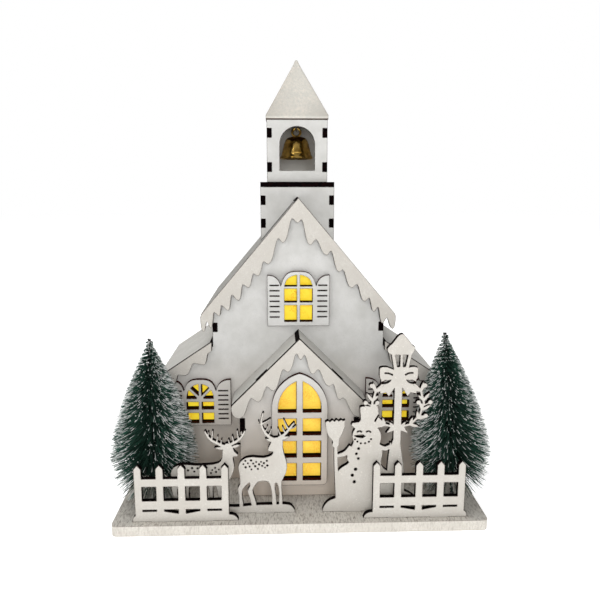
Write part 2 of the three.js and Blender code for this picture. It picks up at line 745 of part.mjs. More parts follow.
// A square box of four finger-jointed walls
function makeBox(name, half, y, [low, high], fingers, { opening, cutter }) {
  const backY = y + 2 * half;
  const trim = (body) => (cutter ? body.subtract(cutter) : body);
  const face = (at) => {
    const sheet = block([-half, half], [at, at + board], [low, high]);
    return cutAll(sheet, fingerBlocks(half, fingers, at));
  };
  const front = opening ? face(y).subtract(opening) : face(y);
  addPart(`${name}_front`, trim(front), paintedBoard);
  addPart(`${name}_back`, trim(face(backY - board)), paintedBoard);
  for (const [end, side] of sides) {
    const wall = sideWall(half, side, [y + board, backY - board], [low, high], fingers,
      [[y, y + board], [backY - board, backY]]);
    addPart(`${name}_wall_${end}`, trim(wall), paintedBoard);
  }
}

function archOpening({ half, sill, tall }, y) {
  const low = belfryLow + sill;
  const shape = new THREE.Shape();
  shape.moveTo(-half, low);
  shape.lineTo(half, low);
  shape.absarc(0, low + tall - half, half, 0, Math.PI, false);
  return extrude(shape, board + 2, (a, b, c) => [a, y + board + 1 - c, b], 12);
}

function makeTower() {
  const crest = upright(naveRoof.crest, towerY - 1, 2 * towerHalf + 2);
  const low = naveRoof.top(towerHalf) - board;
  makeBox('tower', towerHalf, towerY, [low, towerTop], above(towerTop, towerFingers), { cutter: crest });
  const plate = block([-towerHalf, towerHalf], [towerY, towerY + 2 * towerHalf], [towerTop, belfryLow]);
  addPart('tower_top_plate', plate, burntBoard);
  const belfryY = towerMidY - belfryHalf;
  const opening = archOpening(belfryArch, belfryY);
  const fingers = above(belfryLow, belfryFingers);
  makeBox('belfry', belfryHalf, belfryY, [belfryLow, belfryTop], fingers, { opening });
}

// A four-sided roof with a blunt tip, turned as a lathe of four facets
function makeSteeple() {
  const corner = steepleHalf * Math.SQRT2;
  const profile = [
    [0, 0], [corner, 0], [corner, steepleEdge], [steepleTip * 1.3, steepleHeight - steepleTip * 1.6],
    [steepleTip * 0.8, steepleHeight - steepleTip * 0.5], [0, steepleHeight],
  ].map(([r, z]) => new THREE.Vector2(r, z));
  const geometry = new THREE.LatheGeometry(profile, 4);
  geometry.rotateX(Math.PI / 2);
  geometry.rotateZ(Math.PI / 4);
  geometry.translate(0, towerMidY, belfryTop);
  addPart('steeple', toSolid(geometry), snowyBoard);
}

// The bell hangs by its crown ring on a bent wire under the steeple
function lathe(profile, segments) {
  const geometry = new THREE.LatheGeometry(profile.map(([r, z]) => new THREE.Vector2(r, z)), segments);
  geometry.rotateX(Math.PI / 2);
  return toSolid(geometry);
}

function torus(radius, wire, turn, z) {
  const geometry = new THREE.TorusGeometry(radius, wire, 6, 14);
  if (turn === 'facing front') geometry.rotateX(Math.PI / 2);
  if (turn === 'facing side') geometry.rotateY(Math.PI / 2);
  geometry.translate(0, 0, z);
  return toSolid(geometry);
}

function wireAlong(list, radius, steps, sideCount = 8) {
  const path = new THREE.CatmullRomCurve3(list.map(([x, y, z]) => new THREE.Vector3(x, y, z)));
  const section = disc(0, 0, radius, sideCount);
  return toSolid(new THREE.ExtrudeGeometry(section, { steps, extrudePath: path, bevelEnabled: false }));
}

function makeBell() {
  const pivotZ = belfryTop - bellPivotDrop;
  const swing = new THREE.Group();
  swing.position.set(0, towerMidY, pivotZ);
  church.add(swing);

  const ringZ = -(ringRadius - ringWire - hookWire - fit);
  const crownZ = ringZ - ringRadius;
  const rimZ = crownZ - bellHeight;
  const staple = 1.7;
  const stapleWire = 0.45;
  const at = (share) => rimZ + bellHeight * share;
  const outer = [
    [bellRim, at(0)], [bellRim, at(0.06)], [bellRim * 0.93, at(0.14)], [bellRim * 0.82, at(0.28)],
    [bellRim * 0.74, at(0.48)], [bellRim * 0.66, at(0.68)], [bellRim * 0.6, at(0.84)],
    [bellRim * 0.48, at(0.96)], [0, at(1)],
  ];
  const inner = [
    [0, at(1) - bellWall * 1.6], [bellRim * 0.42, at(0.96) - bellWall * 1.6],
    [bellRim * 0.6 - bellWall, at(0.8)], [bellRim * 0.74 - bellWall, at(0.46)],
    [bellRim * 0.82 - bellWall, at(0.26)], [bellRim - bellWall, at(0)],
  ];
  const shell = lathe([...inner, ...outer], 28);
  const ceiling = at(1) - bellWall * 1.6;
  const bell = joinAll([
    shell,
    torus(ringRadius, ringWire, 'facing front', ringZ),
    torus(staple, stapleWire, 'facing side', ceiling),
  ]);
  addPart('bell', bell, brass, swing);

  const tongue = new THREE.Group();
  const tongueZ = ceiling - staple;
  tongue.position.set(0, 0, tongueZ);
  swing.add(tongue);
  const eye = 1.3;
  const eyeWire = 0.4;
  const eyeZ = -(eye - eyeWire - stapleWire - fit);
  const ballZ = rimZ - tongueZ + clapperBall * 0.9;
  const rod = lathe([[0, ballZ], [0.6, ballZ], [0.6, eyeZ - eye], [0, eyeZ - eye]], 8);
  const ball = new THREE.SphereGeometry(clapperBall, 12, 8);
  ball.translate(0, 0, ballZ);
  addPart('clapper', joinAll([rod, torus(eye, eyeWire, 'facing front', eyeZ), toSolid(ball)]), brass, tongue);

  const spread = ringWire + fit + hookWire + 1.2;
  const hook = wireAlong([
    [0, towerMidY + spread, belfryTop], [0, towerMidY + spread, pivotZ + 2.6],
    [0, towerMidY + spread * 0.72, pivotZ + 0.5], [0, towerMidY, pivotZ],
    [0, towerMidY - spread * 0.72, pivotZ + 0.5], [0, towerMidY - spread, pivotZ + 2.4],
    [0, towerMidY - spread, pivotZ + 3.6],
  ], hookWire, 22);
  const trimmed = hook.subtract(block([-4, 4], [towerMidY - 9, towerMidY + 9], [belfryTop, belfryTop + 4]));
  addPart('bell_hook', trimmed, steelWire);
}

// Picket fence on a bank of snow. Its heights are measured up from the ground.
function makeFence(name, side) {
  const { pickets, pitch, width, bankReach, window, slot } = fence;
  const first = -((pickets - 1) * pitch) / 2;
  const half = width / 2;
  const bankTop = ground + fence.bank;
  const railTop = ground + fence.railTop;
  const innerEnd = first - half - bankReach.inner;
  const outerEnd = -first + half + bankReach.outer;
  const shape = new THREE.Shape();
  shape.moveTo(innerEnd, ground);
  shape.quadraticCurveTo(innerEnd + bankReach.inner * 0.2, bankTop, first - half, bankTop);
  for (let i = 0; i < pickets; i += 1) {
    const x = first + i * pitch;
    if (i > 0) shape.lineTo(x - half, railTop);
    shape.lineTo(x - half, ground + fence.shoulder);
    shape.lineTo(x, ground + fence.tip);
    shape.lineTo(x + half, ground + fence.shoulder);
    if (i < pickets - 1) shape.lineTo(x + half, railTop);
  }
  shape.lineTo(-first + half, bankTop);
  shape.quadraticCurveTo(outerEnd, bankTop - 1, outerEnd, ground);
  shape.lineTo(innerEnd, ground);

  const gaps = [];
  for (let i = 0; i < pickets - 1; i += 1) {
    const from = first + i * pitch + half;
    const to = from + pitch - width;
    const inMiddle = i > 0 && i < pickets - 2;
    const towardsMiddle = i < (pickets - 1) / 2;
    const lowFrom = ground + (inMiddle && !towardsMiddle ? slot.wedge : slot.up);
    const lowTo = ground + (inMiddle && towardsMiddle ? slot.wedge : slot.up);
    const top = ground + slot.top;
    const sill = ground + window.up;
    const head = sill + window.tall;
    gaps.push(outline([[from, sill], [to, sill], [to, head], [from, head]]));
    gaps.push(outline([[from, lowFrom], [to, lowTo], [to, top], [from, top]]));
  }
  const cutters = gaps.map((gap) => upright(gap, fenceY - 1, board + 2));
  const panel = cutAll(upright(shape, fenceY), cutters);
  const placed = side > 0 ? panel.translate([fence.middle, 0, 0])
    : panel.mirror([1, 0, 0]).translate([-fence.middle, 0, 0]);
  const feet = fenceFeet.filter(([x0]) => Math.sign(x0) === side).map((span) => foot(span, fenceY));
  addPart(`fence_${name}`, joinAll([placed, ...feet]), snowyBoard);
}

// A flat shape moved to (x, z), and turned over for the left side
function flipped(shape, x, z, side) {
  const place = (point) => new THREE.Vector2(x + side * point.x, z + point.y);
  return new THREE.Shape(shape.getPoints().map(place));
}

const figure = (shape) => upright(shape, figureY);
const pierced = (x, z, radius, count = 6) => upright(disc(x, z, radius, count), figureY - 1, board + 2);

// Two reindeer cut from one panel, on a shared bank of snow
function makeReindeer() {
  const bank = smooth([
    [-100, ground], [-99, 12.5], [-92, 14.6], [-80, 13.8], [-66, 14.8], [-50, 13.4], [-37, 14.4],
    [-22, 14.8], [-8.5, 14.4], [-5.4, 11.6], [-4.3, ground], [-30, ground - 0.01], [-70, ground - 0.01],
  ], 3);
  const bankSolid = figure(bank).subtract(block([-110, 0], [figureY - 1, figureY + board + 1], [0, ground]));

  const standing = smooth([
    [-20.6, 68.3], [-22.4, 64.3], [-24.6, 59.6], [-24, 57.8], [-20.8, 57.6], [-21.6, 55], [-28, 52.9],
    [-35.5, 53.6], [-41.2, 52.8], [-45.4, 49.6], [-46.9, 45.6], [-46.3, 41], [-45.7, 35.6], [-46, 31.4],
    [-47.6, 28.4], [-46.8, 22], [-46.4, 13], [-43.7, 13], [-44.2, 20], [-44, 27.2], [-41, 30.9],
    [-38.6, 33], [-38.4, 30], [-40.3, 26.3], [-38.6, 20.5], [-36.7, 13], [-33.5, 13], [-35, 20.8],
    [-36.3, 26.8], [-34.4, 30.8], [-31.8, 33.6], [-24.4, 33.4], [-22.7, 28.4], [-21.8, 22],
    [-21.3, 13], [-18.6, 13], [-18.7, 22], [-19.4, 32], [-17.8, 32], [-16.3, 23.4], [-16.3, 13],
    [-14.1, 13], [-14.1, 24], [-14.3, 33.4], [-11.5, 39.2], [-10.2, 44.8], [-10.9, 50.6], [-12.4, 55.6],
    [-13.4, 61.4], [-13.2, 66.2], [-14.4, 69.4], [-17.6, 69],
  ], 2);
  const antlers = [
    stroke([[-20.2, 67.4], [-25, 70.6], [-28.4, 76], [-29.2, 81.6], [-27.7, 88.4]], 2.6, 1.3, 8),
    stroke([[-28.9, 79.6], [-26.4, 80.7], [-22.3, 83.4]], 1.5, 0.9, 3),
    stroke([[-27.2, 73.8], [-25.2, 74.8], [-24.7, 78]], 1.4, 0.9, 3),
    stroke([[-24.7, 70.4], [-22.5, 72.6], [-21.9, 76.2]], 1.4, 0.9, 3),
    stroke([[-28.8, 78.4], [-30.6, 79.2], [-31.2, 82]], 1.2, 0.8, 3),
    stroke([[-16.4, 68.4], [-12.6, 70.6], [-9.2, 74.4], [-6.8, 77.6], [-4.6, 80.2]], 2.6, 1.2, 8),
    stroke([[-8.8, 74.8], [-10.8, 78.4], [-12.6, 83]], 1.5, 0.9, 3),
    stroke([[-11.2, 72], [-12.6, 74.4], [-13.5, 77.4]], 1.4, 0.9, 3),
    stroke([[-14, 69.6], [-15.6, 71.8], [-17, 76]], 1.4, 0.9, 3),
    stroke([[-8, 76], [-5.2, 76.2], [-3.6, 78]], 1.2, 0.8, 3),
  ];
  const ears = [leaf(-20.6, 66, 6.2, 2.6, 2.85), leaf(-14.2, 67.6, 6.4, 2.8, 0.3)];

  const looking = smooth([
    [-58, 61], [-58.6, 57.4], [-59, 52.6], [-61.6, 49.2], [-70.4, 47.7], [-80, 47.6], [-89, 48.4],
    [-95, 46.2], [-97.6, 41.4], [-96.6, 35], [-97.4, 29], [-95.8, 21], [-95, 13], [-92.4, 13],
    [-92.6, 21], [-92.8, 28.4], [-89.4, 32.4], [-87.6, 28], [-87, 21], [-86.4, 13], [-83.8, 13],
    [-84.2, 21], [-84.2, 29], [-80.6, 33.8], [-73, 33], [-69.6, 30], [-69, 21], [-68.8, 13],
    [-66.4, 13], [-66.2, 21], [-66, 30.6], [-64, 30.6], [-62.6, 21], [-62, 13], [-59.6, 13],
    [-59.6, 24], [-57.4, 31.6], [-53.4, 35.6], [-51, 40.8], [-49.8, 45.4], [-50.3, 50], [-50.5, 54],
    [-47.8, 54], [-47, 55.5], [-49.6, 58.2], [-50.8, 61.6], [-52.8, 64.2], [-56, 64.6],
  ], 2);
  const faceX = -56.3;
  const lookingAntlers = [-1, 1].flatMap((side) => [
    stroke([[0.2, 62], [8.4, 66], [12.6, 69.8], [15, 74.6]], 2.6, 1.3, 6),
    stroke([[10.2, 67.2], [9.4, 70.6], [9.1, 74.8]], 1.5, 1, 3),
    stroke([[6.4, 65], [5.9, 67.6], [5.4, 70.6]], 1.4, 0.9, 3),
    stroke([[3.2, 63.6], [3, 65.6], [2.5, 67.8]], 1.3, 0.9, 3),
    stroke([[12.8, 70], [12.4, 71.6], [12.2, 74]], 1.1, 0.8, 3),
  ].map((shape) => flipped(shape, faceX, 0, side)));
  const lookingEars = [leaf(-56.8, 60.5, 7.8, 2.6, 3.05), leaf(-51, 61.6, 6.4, 2.6, 0.28)];

  const flank = [
    [-43, 48], [-41.5, 50.6], [-41.3, 45.4], [-39.6, 48.6], [-38.4, 46], [-37.2, 50.9], [-37, 43.6],
    [-35.6, 48.4], [-34.2, 46.2], [-33.4, 49.6], [-32.2, 44], [-31.2, 47.6], [-29.8, 49.6], [-29, 46.4],
    [-27.6, 48.6], [-26.8, 45], [-25.4, 50.4], [-25, 46.6],
  ];
  const rump = [
    [-73.6, 44.8], [-70.6, 45.6], [-77.2, 45.2], [-75.4, 42], [-79.8, 42.6], [-81.4, 45.4], [-66.4, 43.6],
    [-64.2, 45.4], [-63.6, 42], [-61.4, 44], [-67.4, 41.2], [-84.4, 43.6], [-86.6, 45.4], [-88.6, 42.6],
  ];
  const solids = [standing, looking, ...antlers, ...ears, ...lookingAntlers, ...lookingEars].map(figure);
  const spots = [...flank, ...rump].map(([x, z], i) => pierced(x, z, 0.55 + 0.12 * (i % 3)));
  const feet = reindeerFeet.map((span) => foot(span, figureY));
  addPart('reindeer_pair', cutAll(joinAll([bankSolid, ...solids, ...feet]), spots), snowyBoard);
}

// Wreath: two leafy sprays bent into a ring, with berries between the leaves
const wreathRing = { middle: 19.3, width: 2 };
const wreathLeaves = { count: 8, from: -1.46, step: 0.39, outer: [7.8, 2.7], inner: [6.6, 2.4], splay: 0.72 };
const wreathBerries = {
  radius: 1.9, places: [[24, 0.6], [24.2, 0.02], [23.4, -0.45], [15.4, 0.02], [16.4, 0.7], [20.9, -1.36]],
};

function wreathShapes(x, z) {
  const { middle, width } = wreathRing;
  const { count, from, step, outer, inner, splay } = wreathLeaves;
  const ring = new THREE.Shape();
  ring.absarc(x, z, middle + width / 2, 0, 2 * Math.PI, false);
  const bore = new THREE.Path();
  bore.absarc(x, z, middle - width / 2, 0, 2 * Math.PI, true);
  ring.holes.push(bore);
  const shapes = [ring];
  for (const side of [-1, 1]) {
    const mirror = (shape) => flipped(shape, x, z, side);
    for (let i = 0; i < count; i += 1) {
      const turn = from + i * step;
      const along = turn + Math.PI / 2;
      const stalk = [middle * Math.cos(turn), middle * Math.sin(turn)];
      shapes.push(mirror(leaf(...stalk, ...outer, along - splay)));
      shapes.push(mirror(leaf(...stalk, ...inner, along + splay)));
    }
    for (const [radius, turn] of wreathBerries.places) {
      const at = [radius * Math.cos(turn), radius * Math.sin(turn)];
      const root = [middle * Math.cos(turn - 0.12), middle * Math.sin(turn - 0.12)];
      shapes.push(mirror(disc(...at, wreathBerries.radius, 9)));
      shapes.push(mirror(stroke([root, at], 1.2, 1.2, 1)));
    }
  }
  return shapes;
}

// A snowman with a broom beside a lamp post that carries a bow and a wreath, all one panel
function makeSnowman() {
  const postX = 72.4;
  const lanternX = postX + 1.7;
  const bank = smooth([
    [17, ground], [17.3, 11.6], [20.7, 16.4], [25.9, 19], [32, 20], [50, 19], [70, 24.6], [80, 24],
    [89, 18], [94.5, 12], [95.5, ground], [80, ground - 0.01], [40, ground - 0.01],
  ], 3);
  const bankSolid = figure(bank).subtract(block([0, 110], [figureY - 1, figureY + board + 1], [0, ground]));
  const body = smooth([
    [30, 14], [28.4, 22], [27.6, 31], [28.6, 41.6], [32, 44.8], [36.4, 48], [34.8, 51], [36, 56.8],
    [38.8, 62.2], [39.6, 65], [38.6, 68.6], [39.6, 73.4], [43.4, 77.8], [49, 79], [56, 77.2], [60, 71.6],
    [60.4, 66.4], [59.4, 61.8], [61.8, 56.2], [61.3, 51.2], [61, 46], [63.6, 42.4], [67, 40],
    [70.6, 30], [71, 14],
  ], 2);
  const hat = outline([
    [37.6, 77.7], [38.4, 79.6], [43.6, 80.2], [44.8, 82], [44, 91.6], [45.4, 92.4], [57.6, 92.6],
    [58.6, 81.6], [61.8, 79.8], [61.4, 77.2], [58, 75.4], [48, 77.4], [41.2, 74.6],
  ]);
  const broomHead = outline([
    [24.4, 60.4], [23.6, 62.4], [24.2, 65], [20.4, 69.8], [18.9, 75.6], [18.3, 80.4], [20.4, 81.6],
    [21.8, 80.4], [23.6, 82.2], [25.2, 80.8], [26.8, 82.4], [28.4, 81], [30.2, 82.2], [31.6, 81.2],
    [33.2, 82], [33.1, 76.4], [31.2, 71], [29.1, 66.8], [28.9, 62.2], [27.8, 60.4],
  ]);
  const limbs = [
    stroke([[28.2, 16], [27.4, 32], [26.6, 50], [26.4, 63]], 3, 2.8, 5),
    stroke([[27, 53.2], [31.4, 54.4], [35, 56.2], [38.6, 60.4]], 2.6, 5, 5),
    stroke([[58.6, 60.4], [63.4, 58.6], [67.6, 60.4], [72.6, 60.6]], 4.4, 2.6, 5),
    stroke([[67.2, 60.6], [67.8, 63.6]], 1.4, 0.9, 2),
  ];
  const post = outline([
    [postX - 7, 14], [postX - 6.4, 36], [postX - 6.8, 42], [postX - 6.4, 50], [postX - 5.6, 58],
    [postX - 2.9, 66], [postX - 2.9, 118], [postX + 2.9, 118], [postX + 2.9, 61], [postX + 4.4, 53],
    [postX + 6.4, 40], [postX + 7, 14],
  ]);
  const lantern = outline([
    [lanternX - 7.8, 133], [lanternX - 4.8, 116], [lanternX + 4.6, 116], [lanternX + 7.8, 133],
  ]);
  const cap = smooth([
    [-8.5, 133.7], [-9.1, 136.3], [-7.6, 138.4], [-5.3, 140.5], [-2, 145.1], [0.4, 147.2], [2.4, 147.4],
    [4.6, 145.2], [8, 141.1], [9.6, 138.8], [11.5, 137.6], [11, 134.8], [9.3, 132], [1, 131.8], [-6.1, 132],
  ].map(([x, z]) => [postX + x, z]), 2);
  const bowZ = 117.4;
  const loop = smooth([
    [0, -2.6], [4, -4.2], [9, -4.8], [13.6, -4.4], [14.4, 1.4], [14, 4.6], [9, 5.2], [3.4, 3], [0, 2.8],
  ], 2);
  const tail = outline([
    [-1, -1], [4, -2.8], [13.6, -11.3], [13.8, -15.6], [9.2, -14.5], [7, -17.7], [2.2, -9.7], [-1, -9],
  ]);
  const fold = smooth([
    [5.6, -4.6], [7.6, -5.1], [10, -5.3], [13, -6.3], [12.8, -7.6], [9.6, -7.7], [7, -6.5],
  ], 2);
  const bow = [-1, 1].flatMap((side) => [loop, tail].map((shape) => flipped(shape, postX, bowZ, side)));
  const shapes = [body, hat, broomHead, ...limbs, post, lantern, cap, ...bow, ...wreathShapes(postX, 94.6)];
  const feet = snowmanFeet.map((span) => foot(span, figureY));
  const whole = joinAll([bankSolid, ...shapes.map(figure), ...feet]);

  const glass = (side) => outline([
    [lanternX + side * 1.1, 131.6], [lanternX + side * 1.1, 122.6], [lanternX + side * 3.1, 122.6],
    [lanternX + side * 4.8, 131.6],
  ]);
  const crease = stroke([[4.6, -1], [7.4, 0.4], [10.6, 0.5]], 1, 0.9, 4);
  const cuts = [
    ...[-1, 1].flatMap((side) => [
      glass(side), flipped(crease, postX, bowZ, side), flipped(fold, postX, bowZ, side),
    ]),
    stroke([[42.2, 72.2], [44, 73.4], [45.8, 72.2]], 0.9, 0.9, 3),
    stroke([[49, 72.2], [50.8, 73.2], [52.6, 72]], 0.9, 0.9, 3),
    outline([[39.9, 69.5], [46.6, 70.3], [48.6, 68.9], [46.4, 67.6], [42, 68.2]]),
    stroke([[55.4, 80.4], [56.6, 83], [58.4, 85.8]], 1, 1, 3),
  ].map((shape) => upright(shape, figureY - 1, board + 2));
  const dots = [[40.8, 66.6], [42.6, 64.8], [45.2, 63.4], [48.4, 63.4], [51.2, 64.5], [52.8, 66.6]];
  const buttons = [[43.6, 59.2], [42, 55], [43.6, 51.2], [41.6, 42.6], [39.2, 37.8], [40.8, 32.4]];
  const holes = [
    ...dots.map(([x, z]) => pierced(x, z, 0.7)),
    ...buttons.map(([x, z], i) => pierced(x, z, i < 3 ? 0.95 : 1.2, 8)),
  ];
  addPart('snowman_and_lamp', cutAll(whole, [...cuts, ...holes]), snowyBoard);
}

// Bottle-brush tree: every other band of the twisted wire carries a star of bristles
function makeTree(name, tree) {
  const { reach, height, seed } = tree;
  const spread = (n) => {
    const value = Math.sin(n * 12.9898 + seed * 78.233) * 43758.5453;
    return value - Math.floor(value);
  };
  const skirt = treeSkirt - (ground - treeSocket);
  const top = height - (ground - treeSocket) - 3;
  const pitch = (top - skirt) / treeBands;
  const bandHeight = 0.9;
  const levels = [0];
  for (let i = 0; i < treeBands; i += 1) {
    levels.push(skirt + i * pitch, skirt + i * pitch + bandHeight);
  }
  levels.push(top + 1.5);
  const vertices = [];
  const faces = [];
  const twist = 0.29;
  levels.forEach((z, level) => {
    for (let i = 0; i < treeFacets; i += 1) {
      const turn = (2 * Math.PI * i) / treeFacets + twist * Math.floor((level + 1) / 2);
      vertices.push(treeWire * Math.cos(turn), treeWire * Math.sin(turn), z);
    }
  });
  const corner = (level, i) => level * treeFacets + (i % treeFacets);
  for (let level = 0; level < levels.length - 1; level += 1) {
    const hasBristles = level % 2 === 1;
    for (let i = 0; i < treeFacets; i += 1) {
      const quad = [corner(level, i), corner(level, i + 1), corner(level + 1, i + 1), corner(level + 1, i)];
      if (!hasBristles) {
        faces.push(quad[0], quad[1], quad[2], quad[0], quad[2], quad[3]);
      } else {
        const band = (level - 1) / 2;
        const share = band / (treeBands - 1);
        const turn = (2 * Math.PI * (i + 0.5)) / treeFacets + twist * ((level + 1) / 2);
        const ragged = 1 - 0.1 * spread(level * treeFacets + i);
        const width = reach * Math.sin((Math.PI / 2) * (1 - share)) ** treeSpread;
        const wanted = Math.max(width, treeWire + treeTip) * (band === 0 ? 1 : ragged);
        const length = freeLength(tree.x, turn, wanted);
        const rise = length * 0.06 + (spread(i + level * 31) - 0.5) * Math.min(pitch * 0.5, length * 0.2);
        const z = levels[level] + bandHeight / 2 + rise;
        vertices.push(length * Math.cos(turn), length * Math.sin(turn), z);
        const apex = vertices.length / 3 - 1;
        for (let side = 0; side < 4; side += 1) {
          faces.push(quad[side], quad[(side + 1) % 4], apex);
        }
      }
    }
  }
  const lastLevel = levels.length - 1;
  for (let i = 1; i < treeFacets - 1; i += 1) {
    faces.push(corner(0, 0), corner(0, i + 1), corner(0, i));
    faces.push(corner(lastLevel, 0), corner(lastLevel, i), corner(lastLevel, i + 1));
  }
  const geometry = new THREE.BufferGeometry();
  geometry.setAttribute('position', new THREE.BufferAttribute(new Float32Array(vertices), 3));
  geometry.setIndex(faces);
  geometry.computeVertexNormals();
  const mesh = new THREE.Mesh(geometry, bristle);
  mesh.name = name;
  const place = treePlace(tree);
  place.add(mesh);
  church.add(place);
}

// Two cells in a case behind the rear opening, with a sliding cover and a switch
function makeLightUnit() {
  const x0 = -caseLength / 2;
  const x1 = caseLength / 2;
  const rearY = naveBackY;
  const frontY = rearY - caseDepth;
  const low = ground;
  const high = ground + caseHeight;
  const bayX = x1 - switchBay;
  const wellX = [x0 + caseWall, bayX - caseWall];
  const wellZ = [low + caseWall, high - caseWall];
  const shell = block([x0, x1], [frontY, rearY], [low, high]);
  const well = block(wellX, [frontY + caseWall, rearY + 1], wellZ);
  const bayMiddle = (low + high) / 2;
  const knobTravel = 4;
  const knobHalf = 2.5;
  const stop = [bayX, bayX + 1.2];
  const bay = block([stop[1], x1 - caseWall], [rearY - 8, rearY + 1],
    [bayMiddle - knobTravel / 2 - knobHalf - fit, bayMiddle + knobTravel / 2 + knobHalf + fit]);
  const leadHole = block([-leadHoleSide / 2, leadHoleSide / 2], [frontY - 1, frontY + caseWall + 1],
    [low + caseWall, low + caseWall + leadHoleSide]);
  const coverFront = rearY + fit;
  const coverBack = coverFront + coverThickness;
  const lipY = [coverBack + fit, coverBack + fit + railLip];
  const railX = [x0, bayX];
  const rails = [
    block(railX, [rearY - 1, lipY[1]], [low, low + caseWall]),
    block(railX, [rearY - 1, lipY[1]], [high - caseWall, high]),
    block(railX, lipY, [low, low + caseWall + railLip]),
    block(railX, lipY, [high - caseWall - railLip, high]),
    block(stop, [rearY - 1, lipY[1]], [low, high]),
  ];
  addPart('battery_case', cutAll(joinAll([shell, ...rails]), [well, bay, leadHole]), whitePlastic);

  const plateZ = [low + caseWall + fit, high - caseWall - fit];
  const plate = block([x0, bayX - fit], [coverFront, coverBack], plateZ);
  const ribZ = [low + caseWall + railLip + 4, high - caseWall - railLip - 4];
  const ribs = [-2, 0, 2].map((at) => (
    block([x0 + 6 + at, x0 + 6.8 + at], [coverBack, coverBack + 0.8], ribZ)
  ));
  addPart('battery_cover', joinAll([plate, ...ribs]), whitePlastic);

  const cellY = frontY + caseWall + fit + cellDiameter / 2;
  const wellMiddle = (wellX[0] + wellX[1]) / 2;
  const nubLength = 1;
  for (const [i, end] of [[0, -1], [1, 1]]) {
    const cellZ = (low + high) / 2 + (i === 0 ? -1 : 1) * (cellDiameter / 2 + fit);
    const profile = [[0, -cellLength / 2], [cellDiameter / 2, -cellLength / 2],
      [cellDiameter / 2, cellLength / 2 - nubLength], [1.9, cellLength / 2 - nubLength],
      [1.9, cellLength / 2], [0, cellLength / 2]];
    const geometry = new THREE.LatheGeometry(profile.map(([r, z]) => new THREE.Vector2(r, z)), 20);
    geometry.rotateZ(end * Math.PI / 2);
    geometry.translate(wellMiddle, cellY, cellZ);
    addPart(`battery_cell_${i + 1}`, toSolid(geometry), cellJacket);
  }
  const slack = (wellX[1] - wellX[0] - cellLength) / 2;
  for (const [name, side] of sides) {
    const wallX = side < 0 ? wellX[0] : wellX[1];
    const springX = side < 0 ? [wallX, wallX + slack - fit] : [wallX - slack + fit, wallX];
    const contact = block(springX, [cellY - 4, cellY + 4], [wellZ[0] + fit, wellZ[1] - fit]);
    addPart(`battery_contact_${name}`, contact, copperTin);
  }

  const knobX = (stop[1] + x1 - caseWall) / 2;
  const stem = block([knobX - 2, knobX + 2], [rearY - 7, rearY + fit], [bayMiddle - 1.4, bayMiddle + 1.4]);
  const capZ = [bayMiddle - knobHalf, bayMiddle + knobHalf];
  const cap = block([knobX - 2.8, knobX + 2.8], [rearY + fit, rearY + 2], capZ);
  const knob = joinAll([stem, cap]).translate([0, 0, -knobTravel / 2]);
  addPart('switch_knob', knob, burntBoard);

  const lampBase = new THREE.CylinderGeometry(lampDisc.radius, lampDisc.radius, lampDisc.height, 20);
  lampBase.rotateX(Math.PI / 2);
  lampBase.translate(0, lampDisc.y, ground + lampDisc.height / 2);
  addPart('lamp_board', toSolid(lampBase), whitePlastic);
  const bulbZ = ground + lampDisc.height;
  const { radius, height } = lampBulb;
  const bulb = lathe([[0, 0], [radius + 0.5, 0], [radius + 0.5, 1], [radius, 1], [radius, height - radius],
    [radius * 0.87, height - radius * 0.5], [radius * 0.5, height - radius * 0.13], [0, height]], 14);
  addPart('warm_lamp', bulb.translate([0, lampDisc.y, bulbZ]), glowFilm);
}

makeBase();
makeNave();
makeWings();
makePorch();
makeWindows();
makeTower();
makeSteeple();
makeBell();
makeFence('left', -1);
makeFence('right', 1);
makeReindeer();
makeSnowman();
makeTree('tree_left', leftTree);
makeTree('tree_right', rightTree);
makeLightUnit();

export default church;
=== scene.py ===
# %% [markdown]
# # A light-up village church cut from thin board
#
# This notebook dresses a small Christmas church that is cut by laser from 4 mm craft board, painted
# white, dusted with snow paint and lit from inside. The measured solids arrive as a fixed frame.
# Everything here is either a finish for one of those solids or a finer piece that stands in its place.

# %% Load the frame
import math
import random

import bmesh
import bpy
from mathutils import Matrix, Vector


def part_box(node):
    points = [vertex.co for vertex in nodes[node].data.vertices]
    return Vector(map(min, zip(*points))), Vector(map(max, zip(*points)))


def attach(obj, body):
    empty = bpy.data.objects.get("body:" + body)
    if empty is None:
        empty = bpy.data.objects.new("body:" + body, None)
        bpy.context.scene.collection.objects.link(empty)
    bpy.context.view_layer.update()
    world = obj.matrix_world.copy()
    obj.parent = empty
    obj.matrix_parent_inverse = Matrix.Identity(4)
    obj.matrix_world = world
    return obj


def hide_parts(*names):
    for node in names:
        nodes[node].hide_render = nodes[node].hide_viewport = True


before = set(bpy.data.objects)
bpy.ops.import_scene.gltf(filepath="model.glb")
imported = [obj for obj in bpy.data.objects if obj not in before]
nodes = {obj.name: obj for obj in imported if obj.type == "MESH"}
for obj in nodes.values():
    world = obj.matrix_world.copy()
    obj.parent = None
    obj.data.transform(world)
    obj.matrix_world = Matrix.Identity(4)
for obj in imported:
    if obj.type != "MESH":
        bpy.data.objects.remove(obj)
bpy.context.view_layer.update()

# %% [markdown]
# ## The camera
#
# The picture was taken from just above the roof line, a little to the left of the middle, with a normal
# lens. A camera in Blender looks down its own -Z, so tilting it up by nearly a right angle makes it look
# at the horizon, and what is missing from the right angle is how far it looks down.

# %% Camera
MM = 0.001
LENS_PLACE = (-14.2 * MM, -516.3 * MM, 250.8 * MM)
LOOK_DOWN = math.radians(10.41)
TURN = math.radians(1.856)
SENSOR_WIDTH = 36
FOCAL_LENGTH = 36.12

